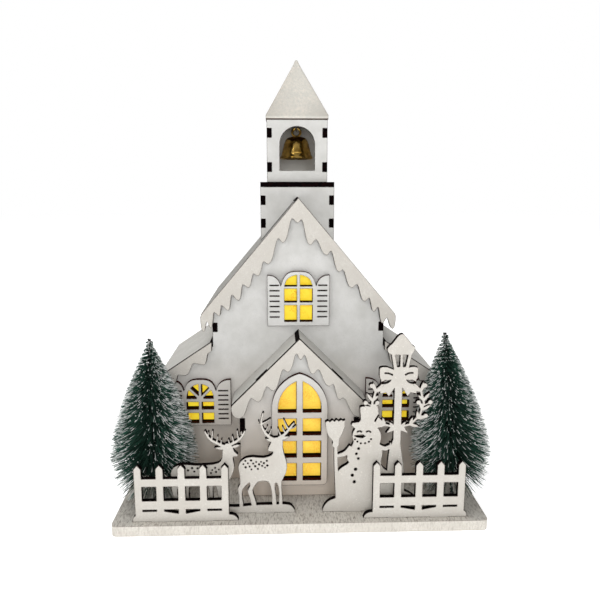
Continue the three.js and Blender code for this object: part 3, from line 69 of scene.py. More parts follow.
camera_data = bpy.data.cameras.new("camera")
camera_data.sensor_width = SENSOR_WIDTH
camera_data.lens = FOCAL_LENGTH
camera_data.clip_start = 0.01
camera_data.clip_end = 50
camera = bpy.data.objects.new("camera", camera_data)
camera.location = LENS_PLACE
camera.rotation_euler = (math.pi / 2 - LOOK_DOWN, 0, -TURN)
bpy.context.scene.collection.objects.link(camera)
bpy.context.scene.camera = camera
print("camera looks down by", round(math.degrees(LOOK_DOWN), 1), "degrees")

# %% [markdown]
# ## One helper for every node
#
# A material is a small graph. This one function adds a node, sets its options, fills its sockets and
# links the ones that are given another socket, so every finish below reads from top to bottom like a
# recipe.

# %% Node and colour helpers
def add(tree, kind, inputs=None, **settings):
    node = tree.nodes.new(kind)
    for name, value in settings.items():
        setattr(node, name, value)
    for socket, value in (inputs or {}).items():
        if isinstance(value, bpy.types.NodeSocket):
            tree.links.new(value, node.inputs[socket])
        else:
            node.inputs[socket].default_value = value
    return node


def colour(hex_code):
    """An sRGB hex code as the linear RGBA that Blender's sockets expect."""
    values = [int(hex_code[i:i + 2], 16) / 255 for i in (1, 3, 5)]
    linear = [v / 12.92 if v <= 0.04045 else ((v + 0.055) / 1.055) ** 2.4 for v in values]
    return (*linear, 1)


def per_mm(size):
    """The texture scale that makes one blob of a pattern about this many millimetres across."""
    return 1 / (size * MM)


print("mid grey is", [round(value, 2) for value in colour("#808080")])

# %% [markdown]
# ## Studio
#
# The object stands on white paper that is lit from behind, so the paper stays white right up to the base.

# %% Floor
PAPER_GLOW = 0.66
PAPER_HALF = 6

floor_shape = bmesh.new()
bmesh.ops.create_grid(floor_shape, x_segments=1, y_segments=1, size=PAPER_HALF)
floor_mesh = bpy.data.meshes.new("studio_floor")
floor_shape.to_mesh(floor_mesh)
floor_shape.free()
floor = bpy.data.objects.new("studio_floor", floor_mesh)
bpy.context.scene.collection.objects.link(floor)

floor_paper = bpy.data.materials.new("floor_paper")
floor_paper.use_nodes = True
floor_tree = floor_paper.node_tree
floor_tree.nodes.clear()
floor_shader = add(floor_tree, "ShaderNodeBsdfPrincipled", {
    "Base Color": colour("#f7f7f7"), "Roughness": 0.9,
    "Emission Color": colour("#ffffff"), "Emission Strength": PAPER_GLOW})
add(floor_tree, "ShaderNodeOutputMaterial", {"Surface": floor_shader.outputs["BSDF"]})
floor_mesh.materials.append(floor_paper)
print("paper is", 2 * PAPER_HALF, "m wide")

# %% [markdown]
# ## Light
#
# The room is bright all round, and the camera sees it as plain white. A soft lamp behind the camera
# reaches under the roofs and into the belfry, one above and to the left gives the icicle trim its soft
# shadow on the walls, and one overhead lights the roofs. The lamp behind the camera is kept out of
# reflections, so the bell doesn't show it as a bright patch.

# %% Room light and lamps
ROOM_LIGHT = 0.36
LIT_POINT = Vector((0, 0, 0.15))

world = bpy.data.worlds.new("white_room")
world.use_nodes = True
bpy.context.scene.world = world
room = world.node_tree
room.nodes.clear()
light_path = add(room, "ShaderNodeLightPath")
soft = add(room, "ShaderNodeBackground", {"Color": colour("#ffffff"), "Strength": ROOM_LIGHT})
seen = add(room, "ShaderNodeBackground", {"Color": colour("#ffffff"), "Strength": 1.0})
both = add(room, "ShaderNodeMixShader", {
    0: light_path.outputs["Is Camera Ray"], 1: soft.outputs[0], 2: seen.outputs[0]})
add(room, "ShaderNodeOutputWorld", {"Surface": both.outputs[0]})


def hang_lamp(name, place, size, power):
    """A square soft lamp that faces the middle of the object."""
    data = bpy.data.lights.new(name, "AREA")
    data.size = size
    data.energy = power
    lamp = bpy.data.objects.new(name, data)
    lamp.location = place
    aim = LIT_POINT - Vector(place)
    lamp.rotation_euler = aim.to_track_quat("-Z", "Y").to_euler()
    bpy.context.scene.collection.objects.link(lamp)
    return lamp


lens_lamp = hang_lamp("lens_lamp", (0.02, -1.1, 0.42), size=0.5, power=4.1)
lens_lamp.visible_glossy = False
hang_lamp("key_lamp", (-1.0, -1.3, 1.5), size=0.6, power=4.5)
hang_lamp("overhead_lamp", (-0.4, 0.3, 2.0), size=1.2, power=15)
bpy.context.scene.view_settings.view_transform = "Standard"
print("lamps in watts:", {light.name: round(light.energy, 1) for light in bpy.data.lights})

# %% [markdown]
# ## Board, paint and burnt edges
#
# Medium density fibreboard is pressed wood fibre. Before it is cut it is sprayed white, so both faces of
# every sheet are painted and every cut edge is bare, and the laser chars that edge nearly black. That is
# what draws the dark outlines round each panel. The finish finds the edges by the direction of the
# surface: a face points along the sheet's thickness, an edge doesn't. The frames in front of the lit
# films are charred maroon, as light comes through their thin edges.

# %% Shared steps of the board finishes
CHARRED = ("#050203", "#1d0807")
# A maroon char for the frames before the lit films: painted glow of the films' light on their edges.
MAROON = ("#330806", "#66140a")


def start_finish(name):
    """An empty material, its node tree and the object coordinates that every pattern is laid out on."""
    material = bpy.data.materials.new(name)
    material.use_nodes = True
    tree = material.node_tree
    tree.nodes.clear()
    place = add(tree, "ShaderNodeTexCoord").outputs["Object"]
    return material, tree, place


def mix(tree, factor, first, second):
    """Two colours mixed by a factor."""
    node = add(tree, "ShaderNodeMix", {0: factor, 6: first, 7: second}, data_type="RGBA")
    return node.outputs[2]


def steps_between(tree, value, low, high):
    """Nought at low, one at high, and even in between. Low can also be the larger of the two."""
    node = add(tree, "ShaderNodeMapRange", {"Value": value, "From Min": low, "From Max": high})
    return node.outputs["Result"]


def blobs(tree, place, size, detail=3, rough=0.55):
    """Cloudy noise with features of about this many millimetres."""
    node = add(tree, "ShaderNodeTexNoise", {
        "Vector": place, "Scale": per_mm(size), "Detail": detail, "Roughness": rough})
    return node.outputs["Fac"]


def dot_product(tree, first, second):
    """How far two directions agree: one when they are the same, nought when they are square."""
    node = add(tree, "ShaderNodeVectorMath", {0: first, 1: second}, operation="DOT_PRODUCT")
    return node.outputs["Value"]


def face_mask(tree, axis):
    """One on the faces of a sheet whose thickness runs along axis, nought on its cut edges."""
    normal = add(tree, "ShaderNodeNewGeometry").outputs["True Normal"]
    facing = dot_product(tree, normal, axis)
    size = add(tree, "ShaderNodeMath", {0: facing}, operation="ABSOLUTE").outputs[0]
    return steps_between(tree, size, 0.9, 0.96)


def char(tree, place, tones=CHARRED):
    """Charred edge: the first tone, with the second where the beam ran faster."""
    faster = steps_between(tree, blobs(tree, place, 2.5), 0.5, 0.8)
    return mix(tree, faster, colour(tones[0]), colour(tones[1]))


def edge_soot_and_shade(tree, reach):
    """One close to an edge and nought further in, over this many millimetres. A Bevel node blends the
    direction of the surface near an edge, so where that differs from the flat face, the smoke of the
    beam has stained it; on coated pieces without cut edges the same band is painted shade."""
    flat = add(tree, "ShaderNodeNewGeometry").outputs["True Normal"]
    rounded = add(tree, "ShaderNodeBevel", {"Radius": reach * MM}, samples=6).outputs["Normal"]
    return steps_between(tree, dot_product(tree, flat, rounded), 0.998, 0.9)


def between(tree, value, low, high):
    """One where the value lies between low and high, in millimetres, nought elsewhere."""
    above = add(tree, "ShaderNodeMath", {0: value, 1: low * MM}, operation="GREATER_THAN").outputs[0]
    below = add(tree, "ShaderNodeMath", {0: value, 1: high * MM}, operation="LESS_THAN").outputs[0]
    return add(tree, "ShaderNodeMath", {0: above, 1: below}, operation="MULTIPLY").outputs[0]


def end_finish(tree, inputs):
    """End a material with one shader that has these inputs."""
    shader = add(tree, "ShaderNodeBsdfPrincipled", inputs)
    add(tree, "ShaderNodeOutputMaterial", {"Surface": shader.outputs["BSDF"]})


print("noise with blobs of 14 mm has the scale", round(per_mm(14), 1))

# %% [markdown]
# ## Sprayed white paint
#
# Two thin coats of matt paint let the board's fibres show as a fine stipple, and the coat is never quite
# even. The stipple is drawn at about a millimetre, coarser than the real one, because it would vanish in
# the render. Towards the base the paint is mixed a little warmer and greyer, as painted shade low on the
# walls. The louvres of the shutters are engraved, so the floor of each groove, found by its depth in the
# board, is dark like an edge. The boards inside the belfry are painted lighter, as painted light in the
# shaded belfry.

# %% Painted board
# Between these heights the paint turns warmer and greyer: painted shade low on the walls.
SHADE_LOW_FROM = 120 * MM
SHADE_LOW_FULLY = 10 * MM
LOUVRE_FLOOR = (-39.4, -39.0)
ALONG_X = (1, 0, 0)
ALONG_Y = (0, 1, 0)
ALONG_Z = (0, 0, 1)
# A lighter paint pair for the belfry boards: painted light in the shaded belfry.
BELFRY_LIGHTENED_COAT = ("#f3f1ec", "#e9e6df")


def painted_board(name, axis, paint=("#d4d3d0", "#c6c5c1"), edge=CHARRED, groove=None):
    """Sprayed board. The paint is its main tone and its shade, and groove is where engraving lies."""
    material, tree, place = start_finish(name)
    across = add(tree, "ShaderNodeSeparateXYZ", {"Vector": place})
    uneven = steps_between(tree, blobs(tree, place, 14), 0.35, 0.7)
    stipple = blobs(tree, place, 1.1, detail=4)
    coat = mix(tree, uneven, colour(paint[0]), colour(paint[1]))
    # Painted shade: low on the walls the coat is mixed to a darker, warmer grey.
    low_down = steps_between(tree, across.outputs["Z"], SHADE_LOW_FROM, SHADE_LOW_FULLY)
    low_shaded = mix(tree, low_down, coat, colour("#d6cabd"))
    speckled = mix(tree, steps_between(tree, stipple, 0.55, 0.8), low_shaded, colour(paint[1]))
    stained = mix(tree, edge_soot_and_shade(tree, 0.9), speckled, colour("#352b26"))
    tone = mix(tree, face_mask(tree, axis), char(tree, place, edge), stained)
    if groove:
        tone = mix(tree, between(tree, across.outputs["Y"], *groove), tone, colour("#2b2624"))
    bump = add(tree, "ShaderNodeBump", {"Height": stipple, "Strength": 0.35, "Distance": 0.25 * MM})
    end_finish(tree, {
        "Base Color": tone, "Roughness": 0.85, "Specular IOR Level": 0.04, "Normal": bump.outputs[0]})
    return material


paint_y = painted_board("sprayed_board_facing_front", ALONG_Y)
paint_x = painted_board("sprayed_board_facing_side", ALONG_X)
# These frames' edges are painted maroon, as painted glow of the lit film behind them.
engraved = painted_board("sprayed_board_with_engraved_louvres", ALONG_Y, edge=MAROON, groove=LOUVRE_FLOOR)
framed = painted_board("sprayed_board_lit_from_behind", ALONG_Y, edge=MAROON)
# The belfry boards are painted lighter, as painted light inside the shaded belfry.
inside_y = painted_board("sprayed_belfry_board_front", ALONG_Y, paint=BELFRY_LIGHTENED_COAT)
inside_x = painted_board("sprayed_belfry_board_side", ALONG_X, paint=BELFRY_LIGHTENED_COAT)
print("made", paint_y.name, "and", paint_x.name)

# %% [markdown]
# ## Dress the walls
#
# Each wall gets the paint whose axis is the direction of its own thickness, so its faces come out white
# and its edges dark.

# %% Put the paint on the walls
def dress(names, material):
    """Give each of these solids a finish."""
    for name in names:
        node = nodes[name]
        if not node.material_slots:
            node.data.materials.append(None)
        for slot in node.material_slots:
            slot.material = material
    return len(names)


front_walls = [
    "front_wall", "back_wall", "wing_back_left", "wing_back_right", "porch_front_wall",
    "tower_front", "tower_back", "belfry_front",
]
shutters = ["upper_window_frame", "wing_window_frame_left", "wing_window_frame_right"]
side_walls = [
    "nave_wall_left", "nave_wall_right", "wing_wall_left", "wing_wall_right", "porch_wall_left",
    "porch_wall_right", "tower_wall_left", "tower_wall_right",
]
print("painted", dress(front_walls, paint_y) + dress(side_walls, paint_x), "walls")
print("painted", dress(shutters, engraved), "shuttered windows")
print("painted", dress(["door_frame"], framed), "door frame")
dress(["belfry_back"], inside_y)
dress(["belfry_wall_left", "belfry_wall_right"], inside_x)

# %% [markdown]
# ## Snow paint
#
# The icicle trim, fences, figures and steeple have a thick ivory paint with fine grit and a few mica
# flakes in it. Grit is a bump with sharp grains, and a flake is a cell of a Voronoi pattern whose own
# random value is high. On the base the paint was dragged on with a dry brush, so the grey board shows
# through in short strokes. The steeple has a dark joint where it sits on the belfry.

# %% Snow-painted board
IVORY = ("#d3d0c9", "#c7c2ba")
STEEPLE_SEAM = (306.5, 307.9)


def strokes(tree, place, size):
    """Noise drawn out into short strokes: along y on a level face, upright on the front of a board."""
    drawn = add(tree, "ShaderNodeMapping", {"Vector": place, "Scale": (1, 0.22, 0.3)}).outputs["Vector"]
    return blobs(tree, drawn, size, detail=4, rough=0.65)


def snow_paint(tree, place, tones, grit, depth):
    """The colour, roughness and bump of gritty paint with mica flakes."""
    grains = blobs(tree, place, grit, detail=5, rough=0.7)
    drift = steps_between(tree, blobs(tree, place, 18), 0.35, 0.7)
    base = mix(tree, drift, colour(tones[0]), colour(tones[1]))
    pitted = mix(tree, steps_between(tree, grains, 0.62, 0.4), base, colour(tones[1]))
    flakes = add(tree, "ShaderNodeTexVoronoi", {"Vector": place, "Scale": per_mm(0.6)})
    lit = steps_between(tree, flakes.outputs["Color"], 0.88, 0.98)
    # The flakes are mica in the paint and are made smoother; their paler colour is a painted glint.
    tint = mix(tree, lit, pitted, colour("#e7e2da"))
    shine = add(tree, "ShaderNodeMapRange", {"Value": lit, "To Min": 0.9, "To Max": 0.5}).outputs["Result"]
    bump = add(tree, "ShaderNodeBump", {"Height": grains, "Strength": 0.5, "Distance": depth * MM})
    return tint, shine, bump.outputs[0]


def snowy_board(name, axis, tones=IVORY, grit=0.9, depth=0.3, edges=True, brushed=None, seam=None):
    """Snow paint, on board with charred edges unless edges is off."""
    material, tree, place = start_finish(name)
    tint, shine, bump = snow_paint(tree, place, tones, grit, depth)
    if brushed:
        worn = steps_between(tree, strokes(tree, place, 1.1), 0.48, 0.7)
        on_top = add(tree, "ShaderNodeMapRange", {"Value": face_mask(tree, axis), "To Min": 0.4})
        share = add(tree, "ShaderNodeMath", {0: worn, 1: on_top.outputs["Result"]}, operation="MULTIPLY")
        tint = mix(tree, share.outputs[0], tint, colour(brushed))
    # Near edges: smoke stain on cut boards, and on the coated steeple and base a grey band of painted
    # shade.
    tint = mix(tree, edge_soot_and_shade(tree, 0.9), tint, colour("#3d312a" if edges else "#9c948b"))
    if edges:
        tint = mix(tree, face_mask(tree, axis), char(tree, place), tint)
    if seam:
        height = add(tree, "ShaderNodeSeparateXYZ", {"Vector": place}).outputs["Z"]
        tint = mix(tree, between(tree, height, *seam), tint, colour("#4a3e36"))
    end_finish(tree, {"Base Color": tint, "Roughness": shine, "Specular IOR Level": 0.05, "Normal": bump})
    return material


snow_y = snowy_board("snow_painted_board", ALONG_Y)
snow_solid = snowy_board("snow_painted_wood", ALONG_Z, tones=("#e5ddd2", "#cfcdc5"), grit=2.2, depth=0.7,
                         edges=False, seam=STEEPLE_SEAM)
snow_ground = snowy_board("snow_painted_base", ALONG_Z, tones=("#e2ded6", "#d3cec5"), grit=1.2, depth=0.6,
                          edges=False, brushed="#948b81")
trims = [
    "main_fascia", "wing_fascia_left", "wing_fascia_right", "porch_fascia", "fence_left",
    "fence_right", "reindeer_pair", "snowman_and_lamp",
]
print("snow paint on", dress(trims, snow_y) + dress(["base_board"], snow_ground), "solids")

# %% [markdown]
# ## The steeple
#
# The steeple is a solid block of wood under a thick coat, so its edges are soft and its cut marks are
# hidden. A copy of the solid is cleaned of doubled corners and its edges are rounded with a bevel.
# Rounding takes a little off the point, so the copy is stretched back to its height. The same helper
# rounds the moulded plastic later.

# %% Pieces and rounded copies
SAME_POINT = 0.005 * MM
FLAT = math.radians(1)
CORNER = math.radians(30)


def new_piece(name, shape, body, stands_for, material, smooth_below=40):
    """Turn a bmesh into a piece that rides on a body and stands for a solid."""
    mesh = bpy.data.meshes.new(name)
    shape.to_mesh(mesh)
    shape.free()
    for polygon in mesh.polygons:
        polygon.use_smooth = True
    mesh.set_sharp_from_angle(angle=math.radians(smooth_below))
    mesh.materials.append(material)
    piece = bpy.data.objects.new(name, mesh)
    bpy.context.scene.collection.objects.link(piece)
    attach(piece, body)
    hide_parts(stands_for)
    return piece


def rounded_copy(node_name, body, material, radius, name):
    """A copy of a solid with its flat faces joined and its edges rounded, radius in millimetres."""
    shape = bmesh.new()
    shape.from_mesh(nodes[node_name].data)
    bmesh.ops.remove_doubles(shape, verts=shape.verts, dist=SAME_POINT)
    bmesh.ops.dissolve_limit(shape, angle_limit=FLAT, verts=shape.verts, edges=shape.edges)
    edges = [e for e in shape.edges if len(e.link_faces) == 2 and e.calc_face_angle(0) > CORNER]
    bmesh.ops.bevel(shape, geom=edges, offset=radius * MM, offset_type="OFFSET", affect="EDGES",
                    segments=2, profile=0.5, material=-1, clamp_overlap=True)
    low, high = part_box(node_name)
    stretch = (high.z - low.z) / (max(vert.co.z for vert in shape.verts) - low.z)
    bmesh.ops.scale(shape, vec=(1, 1, stretch), space=Matrix.Translation(-low), verts=shape.verts)
    return new_piece(name, shape, body, node_name, material)


spire = rounded_copy("steeple", "church", snow_solid, 0.7, "steeple_coated")
print("steeple faces:", len(spire.data.polygons))

# %% [markdown]
# ## Roof panels
#
# The roof panels have a gritty coat over grey-white paint, painted darker on the main roof as painted
# shade and lighter on the small ones as painted light. Each slope has its own thickness direction, so its
# face mask is turned by the pitch of that roof.

# %% Roofs
# One coat in two tones: darker on the main roof as painted shade, lighter on the small roofs as painted
# light.
MAIN_ROOF_SHADED_COAT = ("#b7b5b1", "#a2a09b")
SMALL_ROOF_LIT_COAT = ("#dcdad5", "#c9c7c1")
LEDGE_COAT = ("#cfceca", "#b9b8b2")
PITCHES = {"main_roof": 49.7, "wing_roof": 33.7, "porch_roof": 45.0}


def slope_axis(pitch, side):
    """The thickness direction of a roof panel: straight up, turned by the pitch towards its side."""
    turn = math.radians(pitch)
    return (side * math.sin(turn), 0, math.cos(turn))


for roof, pitch in PITCHES.items():
    coat = MAIN_ROOF_SHADED_COAT if roof == "main_roof" else SMALL_ROOF_LIT_COAT
    for end, side in (("left", -1), ("right", 1)):
        slope_paint = snowy_board(f"gritty_coat_on_{roof}_{end}", slope_axis(pitch, side), tones=coat,
                                  grit=1.3, depth=0.35)
        dress([f"{roof}_{end}"], slope_paint)
dress(["tower_top_plate"], snowy_board("gritty_coat_on_tower_ledge", ALONG_Z, tones=LEDGE_COAT))
print("coated", 2 * len(PITCHES), "slopes")

# %% [markdown]
# ## Lit windows
#
# Behind each opening is a yellow translucent film with glitter in it. The lamp inside makes it glow. A
# film that glows by itself, with a grain that varies from amber to pale yellow, gives the same look from
# every side.

# %% Window film
WINDOW_GLOW = 0.6
DOOR_GLOW = 0.55


def lit_film(name, deep, pale, glow):
    material, tree, place = start_finish(name)
    grain = steps_between(tree, blobs(tree, place, 0.9, detail=4, rough=0.7), 0.35, 0.62)
    cloud = steps_between(tree, blobs(tree, place, 12), 0.35, 0.7)
    soft_tone = mix(tree, cloud, colour(deep), colour(pale))
    tone = mix(tree, grain, soft_tone, colour(pale))
    end_finish(tree, {
        "Base Color": tone, "Emission Color": tone, "Emission Strength": glow, "Roughness": 0.5})
    return material


window_film = lit_film("lemon_glitter_film", "#eaa915", "#fae03c", WINDOW_GLOW)
door_film = lit_film("amber_glitter_film", "#dc9c1e", "#f6cf4c", DOOR_GLOW)
lit = ["upper_window_film", "wing_window_film_left", "wing_window_film_right", "warm_lamp"]
print("glowing solids:", dress(lit, window_film) + dress(["door_film"], door_film))

# %% [markdown]
# ## Spinning round forms
#
# A bell is a body of revolution, so one half profile is spun round its axis, and a ring is a circle of
# wire spun round the ring's own axis. Each edge of that circle is met twice, from both its ends, and a
# dict keeps it once and in order.

# %% Spun shapes
def spin_profile(shape, profile, centre, steps=48):
    """Spin a chain of (radius, height) points round the vertical line through centre."""
    dots = [shape.verts.new(centre + Vector((r, 0, z))) for r, z in profile]
    lines = [shape.edges.new(pair) for pair in zip(dots, dots[1:])]
    bmesh.ops.spin(shape, geom=dots + lines, cent=centre, axis=ALONG_Z, angle=2 * math.pi, steps=steps,
                   use_merge=True)
    bmesh.ops.remove_doubles(shape, verts=shape.verts, dist=0.01 * MM)
    bmesh.ops.recalc_face_normals(shape, faces=shape.faces)


def add_ring(shape, centre, radius, wire, axis, steps=32, sides=12):
    """An upright ring of round wire whose hole looks along axis."""
    up = Vector(ALONG_Z)
    along = Vector(axis).cross(up)
    place = Matrix.Translation(centre + up * radius) @ along.to_track_quat("Z", "Y").to_matrix().to_4x4()
    dots = bmesh.ops.create_circle(shape, segments=sides, radius=wire, matrix=place)["verts"]
    lines = list(dict.fromkeys(edge for dot in dots for edge in dot.link_edges))
    bmesh.ops.spin(shape, geom=dots + lines, cent=centre, axis=axis, angle=2 * math.pi, steps=steps,
                   use_merge=True)
    bmesh.ops.recalc_face_normals(shape, faces=shape.faces)


print("a full turn takes 48 steps, one every", 360 / 48, "degrees")

# %% [markdown]
# ## Aged brass and wire
#
# The bell is cast brass, dipped in a dark patina and rubbed so that the rim and the shoulder shine. Brass
# goes brown where the patina sits and stays bright where it is rubbed. A metal's colour is its
# reflection, so the patina is a darker base colour with more roughness, not a coat of brown paint. The
# hook is bent from galvanised wire, which is drawn smooth and goes dull in patches.

# %% Brass and wire
def aged_brass(name):
    material, tree, place = start_finish(name)
    patina = steps_between(tree, blobs(tree, place, 6, detail=3), 0.35, 0.65)
    rubbed = steps_between(tree, blobs(tree, place, 1.6), 0.45, 0.75)
    tone = mix(tree, patina, colour("#94702a"), colour("#e4bc66"))
    rough = add(tree, "ShaderNodeMapRange", {"Value": rubbed, "To Min": 0.2, "To Max": 0.1})
    bump = add(tree, "ShaderNodeBump", {"Height": rubbed, "Strength": 0.15, "Distance": 0.1 * MM})
    end_finish(tree, {
        "Base Color": tone, "Metallic": 1.0, "Roughness": rough.outputs["Result"],
        "Normal": bump.outputs[0]})
    return material


def drawn_wire(name, light, dark):
    material, tree, place = start_finish(name)
    tone = mix(tree, blobs(tree, place, 2), colour(dark), colour(light))
    end_finish(tree, {"Base Color": tone, "Metallic": 1.0, "Roughness": 0.38})
    return material


brass = aged_brass("aged_cast_brass")
print("hooks dressed:", dress(["bell_hook"], drawn_wire("galvanised_wire", "#9c9c98", "#5d5d5a")))

# %% [markdown]
# ## The bell
#
# The profile runs down the inside of the cup and up the outside, past the lip and two raised bands, in
# shares of the rim's radius and the cup's height. The crown ring on top hangs on the hook, and a small
# ring inside carries the clapper.

# %% Bell
RIM = 14.3 * MM
CUP = 18.8 * MM
WALL = 1.2 * MM
CROWN_RADIUS = 3.5 * MM
CROWN_WIRE = 1.1 * MM
INNER_RADIUS = 1.7 * MM
INNER_WIRE = 0.45 * MM

cup_inside = [(0.0, 0.9), (0.38, 0.88), (0.52, 0.8), (0.63, 0.6), (0.7, 0.42), (0.77, 0.24), (0.86, 0.08)]
cup_outside = [
    (0.917, 0.0), (0.965, 0.0), (1.0, 0.02), (1.0, 0.05), (0.98, 0.09), (0.93, 0.15), (0.895, 0.21),
    (0.88, 0.26), (0.89, 0.275), (0.885, 0.295), (0.86, 0.3), (0.84, 0.38), (0.8, 0.49), (0.765, 0.58),
    (0.755, 0.63), (0.765, 0.64), (0.76, 0.66), (0.735, 0.665), (0.71, 0.74), (0.67, 0.82), (0.61, 0.89),
    (0.53, 0.94), (0.38, 0.975), (0.2, 0.993), (0.0, 1.0),
]
bell_low, bell_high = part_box("bell")
hinge_y = (bell_low.y + bell_high.y) / 2
bell_centre = Vector((0, hinge_y, bell_low.z))
bell_shape = bmesh.new()
spin_profile(bell_shape, [(RIM * r, CUP * z) for r, z in cup_inside + cup_outside], bell_centre)
crown_centre = bell_centre + Vector((0, 0, CUP + CROWN_RADIUS))
inner_centre = bell_centre + Vector((0, 0, CUP - WALL * 1.6))
add_ring(bell_shape, crown_centre, CROWN_RADIUS, CROWN_WIRE, ALONG_Y)
add_ring(bell_shape, inner_centre, INNER_RADIUS, INNER_WIRE, ALONG_X, steps=20)
bell = new_piece("bell_cast", bell_shape, "bell", "bell", brass)
print("bell faces:", len(bell.data.polygons))

# %% [markdown]
# ## The clapper
#
# The clapper is turned from rod: a ball, a thin stem and an eye. It hangs in the bell's inner ring and
# rides on its own body, so it swings by itself.

# %% Clapper
BALL = 2.6 * MM
BALL_STEPS = 8
NECK = 0.6 * MM
STEM = 0.5 * MM
EYE_RADIUS = 1.3 * MM
EYE_WIRE = 0.4 * MM

clapper_low, clapper_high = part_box("clapper")
ball_z = clapper_low.z + BALL
tongue = [(0.0, clapper_low.z)]
for step in range(1, BALL_STEPS):
    angle = -math.pi / 2 + math.pi * step / BALL_STEPS
    tongue.append((BALL * math.cos(angle), ball_z + BALL * math.sin(angle)))
tongue += [
    (NECK, ball_z + 3.2 * MM),
    (STEM, clapper_high.z - 2.8 * MM),
    (0.0, clapper_high.z - 2.7 * MM),
]
tongue_shape = bmesh.new()
spin_profile(tongue_shape, tongue, Vector((0, hinge_y, 0)), steps=20)
eye_centre = Vector((0, hinge_y, clapper_high.z - EYE_RADIUS - EYE_WIRE))
add_ring(tongue_shape, eye_centre, EYE_RADIUS, EYE_WIRE, ALONG_Y, steps=20, sides=8)
clapper = new_piece("clapper_turned", tongue_shape, "clapper", "clapper", brass)
print("clapper faces:", len(clapper.data.polygons))

# %% [markdown]
# ## Bottle-brush trees
#
# Such a tree is made like a brush: thousands of sisal hairs are laid between two wires, the wires are
# twisted, and the brush is trimmed to a cone with round sides. White flock, sprayed from both sides,
# dusts the outer quarter of some hairs and sits on a few as a bead. The finish reads all this from the
# hair's own attribute: red is how far along the hair a point lies, green is the flock, blue the tone.

# %% Hair finish
def brush_hair(name):
    """Painted shade at the root, green along the hair, painted grey highlights, white where flocked."""
    material, tree, _ = start_finish(name)
    hair = add(tree, "ShaderNodeAttribute", attribute_name="hair")
    parts = add(tree, "ShaderNodeSeparateColor", {"Color": hair.outputs["Color"]})
    along, flock, tone = parts.outputs[0], parts.outputs[1], parts.outputs[2]
    green = mix(tree, tone, colour("#0b1c15"), colour("#3a6857"))
    # Painted highlight: the palest tones turn grey.
    grey_highlit = mix(tree, steps_between(tree, tone, 0.84, 0.95), green, colour("#80918a"))
    # Painted shade: each hair is near black towards its root, where the core of the brush is shaded.
    shaded_root = mix(tree, steps_between(tree, along, 0.3, 0.8), colour("#020403"), grey_highlit)
    outer = steps_between(tree, along, 0.76, 0.92)
    dusted = add(tree, "ShaderNodeMath", {0: outer, 1: flock}, operation="MULTIPLY")
    tip = mix(tree, dusted.outputs[0], shaded_root, colour("#eef0ee"))
    end_finish(tree, {"Base Color": tip, "Roughness": 0.75, "Specular IOR Level": 0.2})
    return material


def twisted_wire_finish(name):
    """Green-black lacquered wire with flock caught on it."""
    material, tree, place = start_finish(name)
    caught = steps_between(tree, blobs(tree, place, 1.5, detail=3), 0.55, 0.6)
    tone = mix(tree, caught, colour("#0a0d0c"), colour("#d6d8d4"))
    end_finish(tree, {"Base Color": tone, "Roughness": 0.6})
    return material


hair_finish = brush_hair("flocked_sisal")
wire_finish = twisted_wire_finish("lacquered_twisted_wire")
print("made", hair_finish.name, "and", wire_finish.name)

# %% [markdown]
# ## Where the hairs can go
#
# The brush is wider than the room it has. In front of it stand a fence and the deer or the snowman,
# behind it the wing, so a hair that would run into one of them ends there, as the real ones are bent
# aside. Each of the three is given by its place in depth and how far it reaches from the middle.

# %% Room for a tree
GROUND = 8 * MM
SOCKET = 6 * MM
TREE_Y = -67 * MM
OBSTACLES = {
    "figures": (-88.6 * MM, 101 * MM),
    "fence": (-98.6 * MM, 125.5 * MM),
    "wing": (-40.4 * MM, 110.5 * MM),
}


def tree_place(x, lean):
    """Where a tree stands: in its hole in the base, leaning a little to one side."""
    upright = Matrix.Translation((x * MM, TREE_Y, GROUND - SOCKET))
    return upright @ Matrix.Rotation(math.radians(lean), 4, "Y")


def fitted(root, out, length, x):
    """The length at which a hair stays clear of the panels round the tree and of the base."""
    for depth, end in OBSTACLES.values():
        room_there = depth - TREE_Y
        beside = abs(x * MM + out.x * length) < end
        if beside and abs(out.y) > 0.01 and out.y * room_there > 0:
            length = min(length, room_there / out.y)
    if out.z < -0.01:
        length = min(length, (root.z - SOCKET - 1 * MM) / -out.z)
    return length


print("room in front of a tree:", round((TREE_Y - OBSTACLES["fence"][0]) / MM, 1), "mm")

# %% [markdown]
# ## Grow the hairs
#
# The hairs lie in two sheets between the twisted wires, so they come out in rows that climb round the
# wire like a staircase. Fewer point to the front and back, so the dark core shows between light fringes,
# and the lowest ones are few and hang. Each hair is a three-sided tapered cone, and a bead of flock is a
# second, thicker one. They are grown band by band up the wire, so each small mesh stays quick to edit
# before all are joined. A share runs from nought at the skirt to one at the top, and droops are degrees.

# %% Hairs
HAIRS = 12000
BANDS = 48
SKIRT = 33 * MM
ROW_RISE = 6 * MM
BARE_TOP = 3
SHORTEST = 2.2
ROUNDED_SIDES = 0.9
HAIR_GIRTH = (0.22 * MM, 0.16 * MM)
LOW_SHARE = 0.12
THIN_LOW = 0.7
THIN_FRONT = 0.4
DROOP = 6
LOW_DROOP = 34
TOP_DROOP = 11
BEADED = 0.16


def grow_cone(shape, layer, root, tip, girths, alongs, flock, tone):
    """One tapered cone with three sides, marked with how far along the hair each end is."""
    line = tip - root
    place = Matrix.Translation((root + tip) / 2) @ line.to_track_quat("Z", "Y").to_matrix().to_4x4()
    dots = bmesh.ops.create_cone(shape, cap_ends=True, segments=3, radius1=girths[0], radius2=girths[1],
                                 depth=line.length, matrix=place)["verts"]
    for dot in dots:
        along = alongs[1] if (dot.co - tip).length < (dot.co - root).length else alongs[0]
        dot[layer] = (along, flock, tone, 1.0)


